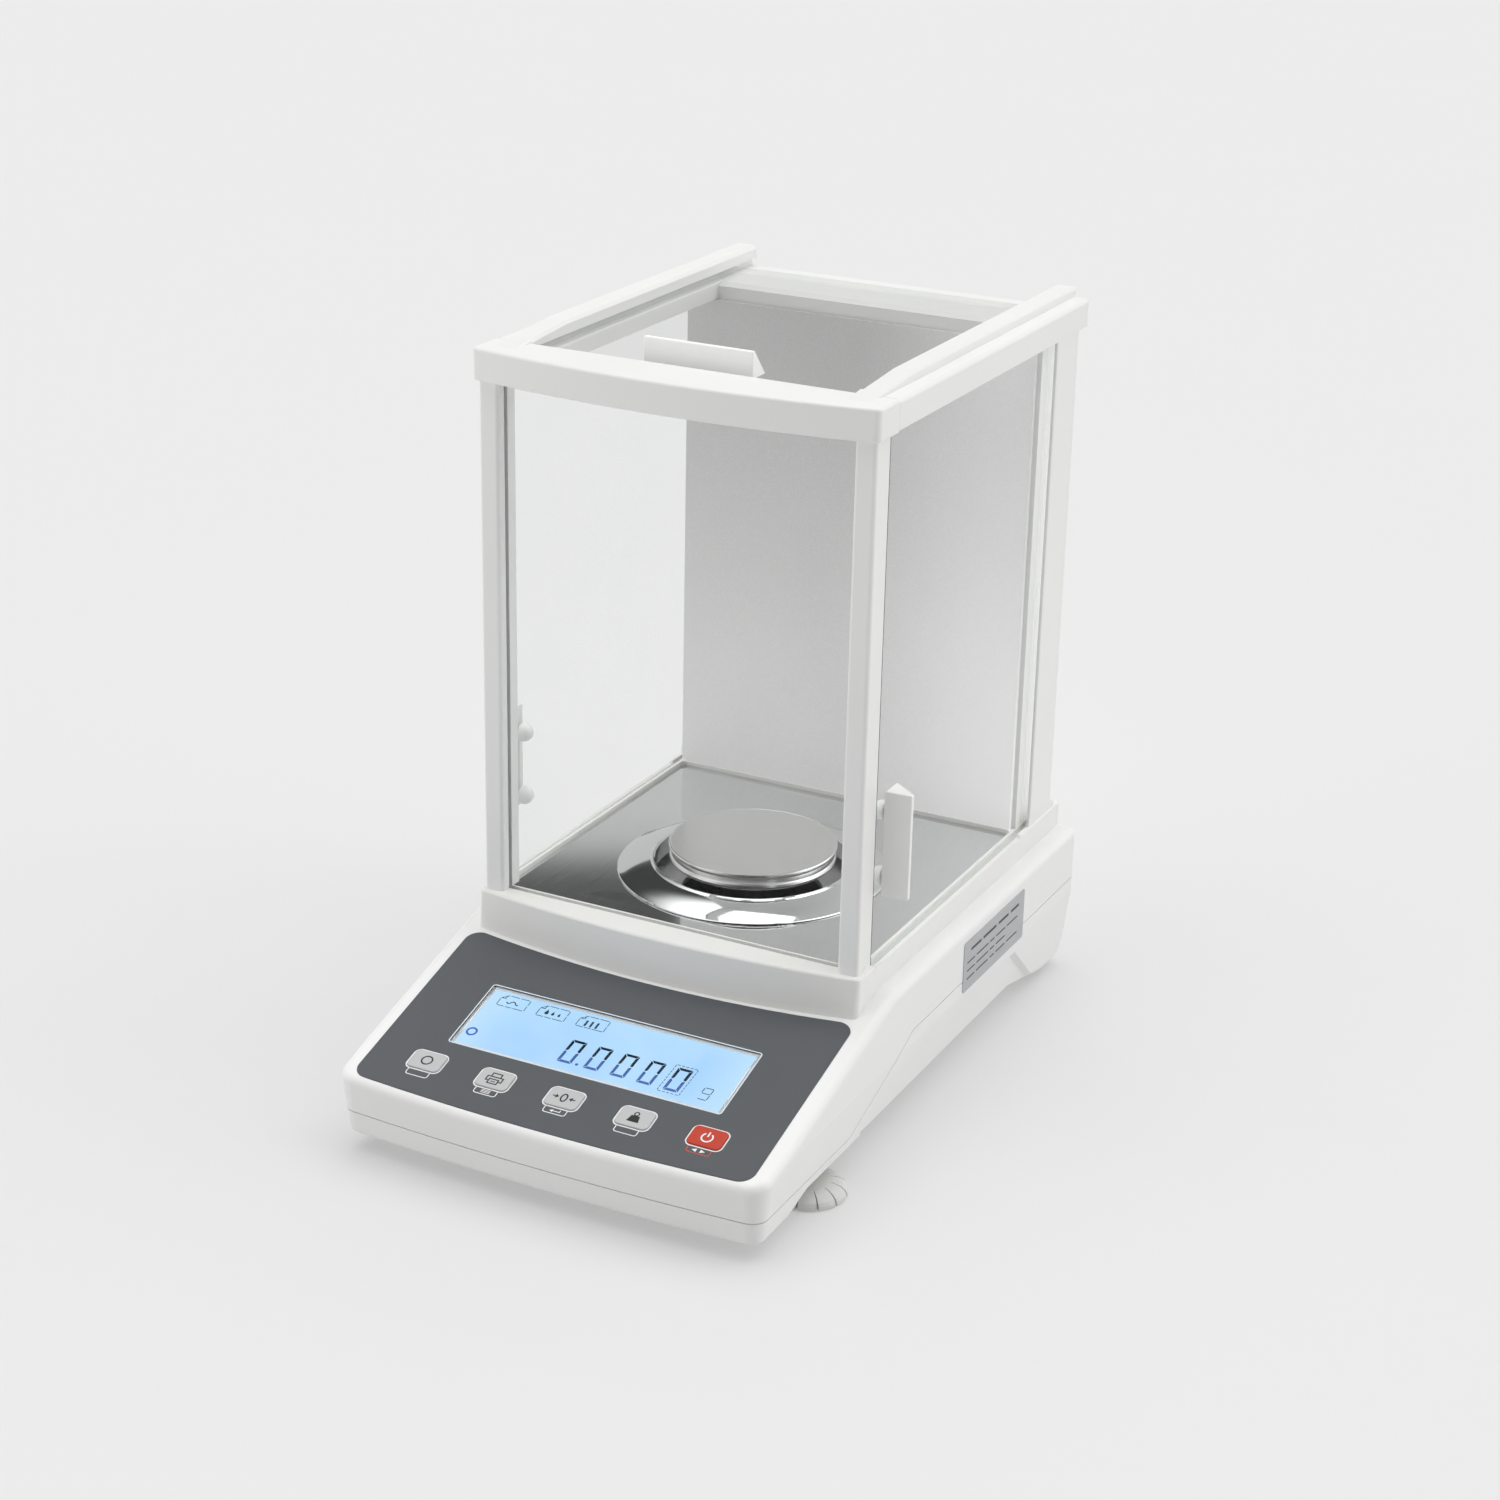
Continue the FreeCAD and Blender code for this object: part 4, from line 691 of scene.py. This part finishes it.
def print_read_out():
    dark = lcd_ink("lcd_segment_dark", display_colour(18, 30, 52), display_colour(66, 78, 92))
    blue = lcd_ink("lcd_segment_blue", display_colour(60, 86, 140), display_colour(88, 122, 196))
    line = lcd_ink("lcd_symbol_line", display_colour(52, 78, 96), display_colour(62, 92, 118))
    violet = display_colour(88, 118, 205)
    ring = lcd_ink("lcd_stability_ring", violet, violet)
    upper, lower = [], []
    for x in DIGIT_X:
        top_half, low_half = zero_segments(x)
        upper += top_half
        lower += low_half
    lower.append(circle(-6.6, 64.6, 0.75, steps=16))  # decimal point
    printed("lcd_digits_upper", upper, dark, LCD_HEIGHT)
    printed("lcd_digits_lower", lower, blue, LCD_HEIGHT)
    printed("lcd_symbols", dashed_box() + unit_sign() + cards(), line, LCD_HEIGHT)
    printed("lcd_stability_ring", ribbon(circle(-62.6, 61.6, 2.25), 1.0, True), ring, LCD_HEIGHT)


def print_window_edge():
    """Pale edge of the display opening."""
    pale = ink("window_edge", display_colour(222, 238, 250), var=0.03, rough=0.4)
    outline = rounded(-68.75, 68.75, 30.95, 71.75, r=1.3)
    printed("display_edge", ribbon(outline, 0.55, True), pale, 0.03)


# ------------------------------------------------------------ prints round and on the keys
def key_ring(x):
    half_width, half_depth = KEY_WIDTH / 2 + 0.50, KEY_DEPTH / 2 + 0.50
    outline = rounded(x - half_width, x + half_width, KEY_T - half_depth, KEY_T + half_depth, 3.0)
    return ribbon(outline, 0.62, True)


def key_tab(x):
    """Open tab below a key, with two round corners."""
    x0, x1 = x - KEY_WIDTH / 2 + 2.4, x - KEY_WIDTH / 2 + 13.4
    t0, t1, r = KEY_T + KEY_DEPTH / 2 + 0.9, 96.6, 1.1
    path = [(x0, t0), (x0, t1 - r)]
    for a in map(math.radians, (30, 60, 90)):
        path.append((x0 + r - r * math.cos(a), t1 - r + r * math.sin(a)))
    for a in map(math.radians, (0, 30, 60, 90)):
        path.append((x1 - r + r * math.sin(a), t1 - r + r * math.cos(a)))
    path.append((x1, t0))
    return ribbon(path, 0.42)


def print_key_surrounds():
    rings, tabs, arrows = [], [], []
    for key, x in KEY_X.items():
        rings += key_ring(x)
        if key != "on":
            tabs += key_tab(x)
    # small signs in the tabs: a list and a return arrow
    x = KEY_X["print"]
    for k in range(3):
        tabs += ribbon([(x - 2.6, 93.9 + 0.8 * k), (x + 2.0, 93.9 + 0.8 * k)], 0.34)
    x = KEY_X["tare"]
    tabs += ribbon([(x + 2.2, 93.8), (x + 2.2, 95.0), (x - 1.4, 95.0)], 0.42)
    tabs.append([(x - 2.9, 95.0), (x - 1.2, 94.2), (x - 1.2, 95.8)])
    x = KEY_X["on"]
    for side in (-1, 1):
        base, tip = x - 0.4 + side * 0.9, x - 0.4 + side * 3.2
        arrows.append([(base, 93.9), (base, 95.9), (tip, 94.9)])
    printed("key_rings", rings, INK_WHITE, KEY_PRINT_HEIGHT)
    printed("key_tabs", tabs, INK_WHITE, KEY_PRINT_HEIGHT)
    printed("key_tab_red", key_tab(x), INK_RED, KEY_PRINT_HEIGHT)
    printed("key_tab_arrows", arrows, INK_WHITE, KEY_PRINT_HEIGHT)


def printer_sign():
    shapes = []
    for side in (-1, 1):
        shapes += ribbon([(side * 2.6, -1.0), (side * 3.9, -1.0),
                          (side * 3.9, 1.6), (side * 2.6, 1.6)], 0.6)
    shapes += ribbon([(-3.9, -1.0), (3.9, -1.0)], 0.6)
    shapes += ribbon([(-2.3, -1.2), (-2.3, -3.2), (2.3, -3.2), (2.3, -1.2)], 0.6)
    shapes += ribbon(box(-2.3, 2.3, 0.5, 3.2), 0.6, True)
    return shapes + ribbon([(-1.2, 1.9), (1.2, 1.9)], 0.45)


def zero_sign():
    """Narrow oval between two arrows that point at it."""
    shapes = []
    for side in (-1, 1):
        shapes += ribbon([(side * 5.6, 0), (side * 3.8, 0)], 0.6)
        shapes.append([(side * 2.5, 0), (side * 4.1, -1.25), (side * 4.1, 1.25)])
    angles = [k * math.pi / 16 for k in range(32)]
    oval = [(1.35 * math.cos(a), 2.25 * math.sin(a)) for a in angles]
    return shapes + ribbon(oval, 0.72, True)


def weight_sign():
    body = [(-2.0, -0.9), (2.0, -0.9), (2.9, 2.9), (-2.9, 2.9)]
    return [body] + ribbon(circle(0, -2.0, 1.05, steps=24), 0.6, True)


def power_sign():
    arc = circle(0, 0.3, 2.5, steps=30, start=-55, end=235)
    return ribbon(arc, 0.72) + ribbon([(0, -3.0), (0, -0.2)], 0.72)


def print_legends():
    """Signs on the key caps, drawn from the centre of each cap."""
    signs = {"off": ribbon(circle(0, 0, 2.5), 0.75, True), "print": printer_sign(),
             "tare": zero_sign(), "cal": weight_sign(), "on": power_sign()}
    for key, sign in signs.items():
        printed("legend_" + key, [moved(shape, KEY_X[key], KEY_T) for shape in sign],
                INK_WHITE if key == "on" else INK_BLACK,
                KEY_CAP_HEIGHT + PRINT_THICK, body="key_" + key)


def print_rating_rows():
    """Plain bars in rows on the rating plate, in place of text."""
    rows = [box(a0, a1, 5.2, 6.6) for a0, a1 in ((104, 116), (118.5, 134), (137, 149), (152, 162))]
    # level of each row and the lengths of its bars
    for b, lengths in ((11.2, (9, 14, 5, 11, 13)), (15.4, (9, 14, 5, 11)),
                       (19.6, (9, 14, 5, 11, 13))):
        a = 100.0
        for length in lengths:
            rows.append(box(a, a + length, b, b + 0.8))
            a += length + 2.2
    printed("rating_rows", rows, INK_GREY, 0.03, place=plate_point)


print_read_out()
print_window_edge()
print_key_surrounds()
print_legends()
print_rating_rows()


# ------------------------------------------------------------ studio, metres
def floor_finish():
    """Matt floor with a glow of its own; the camera sees other levels than the other rays."""
    m = Material("studio_floor")
    n = m.noise(3.0)
    seen = m.ray("Is Camera Ray")
    glow = m.mix(m.remap(n), (1.0, 1.0, 1.0, 1), (0.994, 0.994, 0.994, 1))
    matt = m.mix(seen, (0.40, 0.40, 0.40, 1), (0.50, 0.50, 0.50, 1))
    diffuse = m.node("ShaderNodeBsdfDiffuse", {"Color": matt})
    emission = m.emission(glow, m.remap(seen, span=(0.0, 1.0), to=(0.330, 0.262)))
    return m.done(m.node("ShaderNodeAddShader", {0: diffuse.outputs[0], 1: emission.outputs[0]}))


def build_floor():
    material = floor_finish()
    mesh = bpy.data.meshes.new("studio_floor")
    bm = bmesh.new()
    bm.faces.new([bm.verts.new((x, y, 0)) for x, y in box(-30.0, 30.0, -30.0, 30.0)])
    bm.to_mesh(mesh)
    bm.free()
    mesh.materials.append(material)
    floor = bpy.data.objects.new("studio_floor", mesh)
    scene.collection.objects.link(floor)
    return floor


def build_world():
    """Grey surround with soft glows and dark cards, told apart by direction."""
    world = bpy.data.worlds.new("studio")
    scene.world = world
    world.use_nodes = True
    w = Nodes(world.node_tree)
    w.place = w.node("ShaderNodeTexCoord").outputs["Generated"]
    x, y, z = w.axes()

    def rise(value, start, end):
        return w.remap(value, span=(start, end), smooth=True)

    def fall(value, start, end):
        return w.remap(value, span=(start, end), to=(1.0, 0.0), smooth=True)

    def facing(toward, outer, inner):
        """0 outside the cone whose cosine is outer, 1 inside inner."""
        inputs = {0: w.place, 1: Vector(toward).normalized()}
        return rise(w.vector("DOT_PRODUCT", inputs, out="Value"), outer, inner)

    def brighten(total, area, amount):
        return w.plus(total, w.times(area, amount))

    def dim(total, area, amount):
        return w.times(total, w.minus(1.0, w.times(area, amount)))

    light = 0.67
    light = brighten(light, facing((0.12, 0.0, 0.99), 0.55, 0.95), 1.36)     # overhead
    light = brighten(light, facing((0.97, 0.10, 0.10), 0.20, 0.95), 1.22)    # right
    light = brighten(light, facing((-0.60, -0.75, 0.20), 0.50, 0.95), 0.25)  # front left
    light = dim(light, facing((0.58, -0.79, 0.20), 0.30, 0.90), 0.95)        # front right
    # dark card up at the back left, with a sharp edge towards the middle
    card = fall(w.math("DIVIDE", x, w.math("MAXIMUM", y, 0.2)), -0.5425, -0.5345)
    card = w.times(card, rise(x, -0.85, -0.75))
    card = w.times(card, rise(y, 0.20, 0.35))
    card = w.times(card, rise(z, 0.398, 0.412))
    card = w.times(card, fall(z, 0.60, 0.72))
    light = dim(light, card, 0.80)
    # darker band across the back at the same height
    band = w.times(rise(z, 0.39, 0.45), fall(z, 0.64, 0.78))
    band = w.times(band, rise(y, 0.25, 0.50))
    light = dim(light, band, 0.60)
    # small glow high at the back left
    light = brighten(light, facing((-0.26, 0.47, 0.845), 0.940, 0.999), 0.75)

    tint = {i: w.times(light, level) for i, level in enumerate((1.0, 1.0, 0.998))}
    colour = w.node("ShaderNodeCombineColor", tint).outputs[0]
    sky = w.node("ShaderNodeBackground", {"Color": colour, "Strength": 1.0})
    w.node("ShaderNodeOutputWorld", {"Surface": sky.outputs[0]})


def build_lamp(floor):
    """Soft box at the front left, near enough to fall off across the front; skips the floor."""
    light = bpy.data.lights.new("front_left_box", "AREA")
    light.shape = "SQUARE"
    light.size = 0.36
    light.energy = 0.75
    lamp = bpy.data.objects.new("front_left_box", light)
    scene.collection.objects.link(lamp)
    place = Vector((-0.55, -0.62, 0.34))
    aim = (Vector((0.0, -0.1, 0.15)) - place).normalized()
    turn = aim.to_track_quat("-Z", "Y").to_matrix().to_4x4()
    lamp.matrix_world = Matrix.Translation(place) @ turn
    lamp.visible_glossy = False
    lamp.visible_camera = False
    unlit = bpy.data.collections.new("unlit_by_box")
    lamp.light_linking.receiver_collection = unlit
    unlit.objects.link(floor)
    unlit.collection_objects[0].light_linking.link_state = "EXCLUDE"


def build_camera():
    """Camera at the front right, looking down at the balance."""
    turn, lift, roll = (math.radians(a) for a in (26.8746, 21.8045, 1.2489))
    back = Vector((math.sin(turn) * math.cos(lift), -math.cos(turn) * math.cos(lift),
                   math.sin(lift)))
    level = Vector((math.cos(turn), math.sin(turn), 0))
    upright = back.cross(level)
    right = math.cos(roll) * level + math.sin(roll) * upright
    up = -math.sin(roll) * level + math.cos(roll) * upright
    data = bpy.data.cameras.new("camera")
    data.sensor_fit = "HORIZONTAL"
    data.sensor_width = 36.0
    data.lens = 71.25288
    data.clip_start, data.clip_end = 0.05, 100.0
    camera = bpy.data.objects.new("camera", data)
    scene.collection.objects.link(camera)
    place = Matrix.Translation(part_point(582.7284, -1067.3278, 576.1747))
    camera.matrix_world = place @ Matrix((right, up, back)).transposed().to_4x4()
    scene.camera = camera


studio_floor = build_floor()
build_world()
build_lamp(studio_floor)
build_camera()
scene.view_settings.view_transform = "Standard"
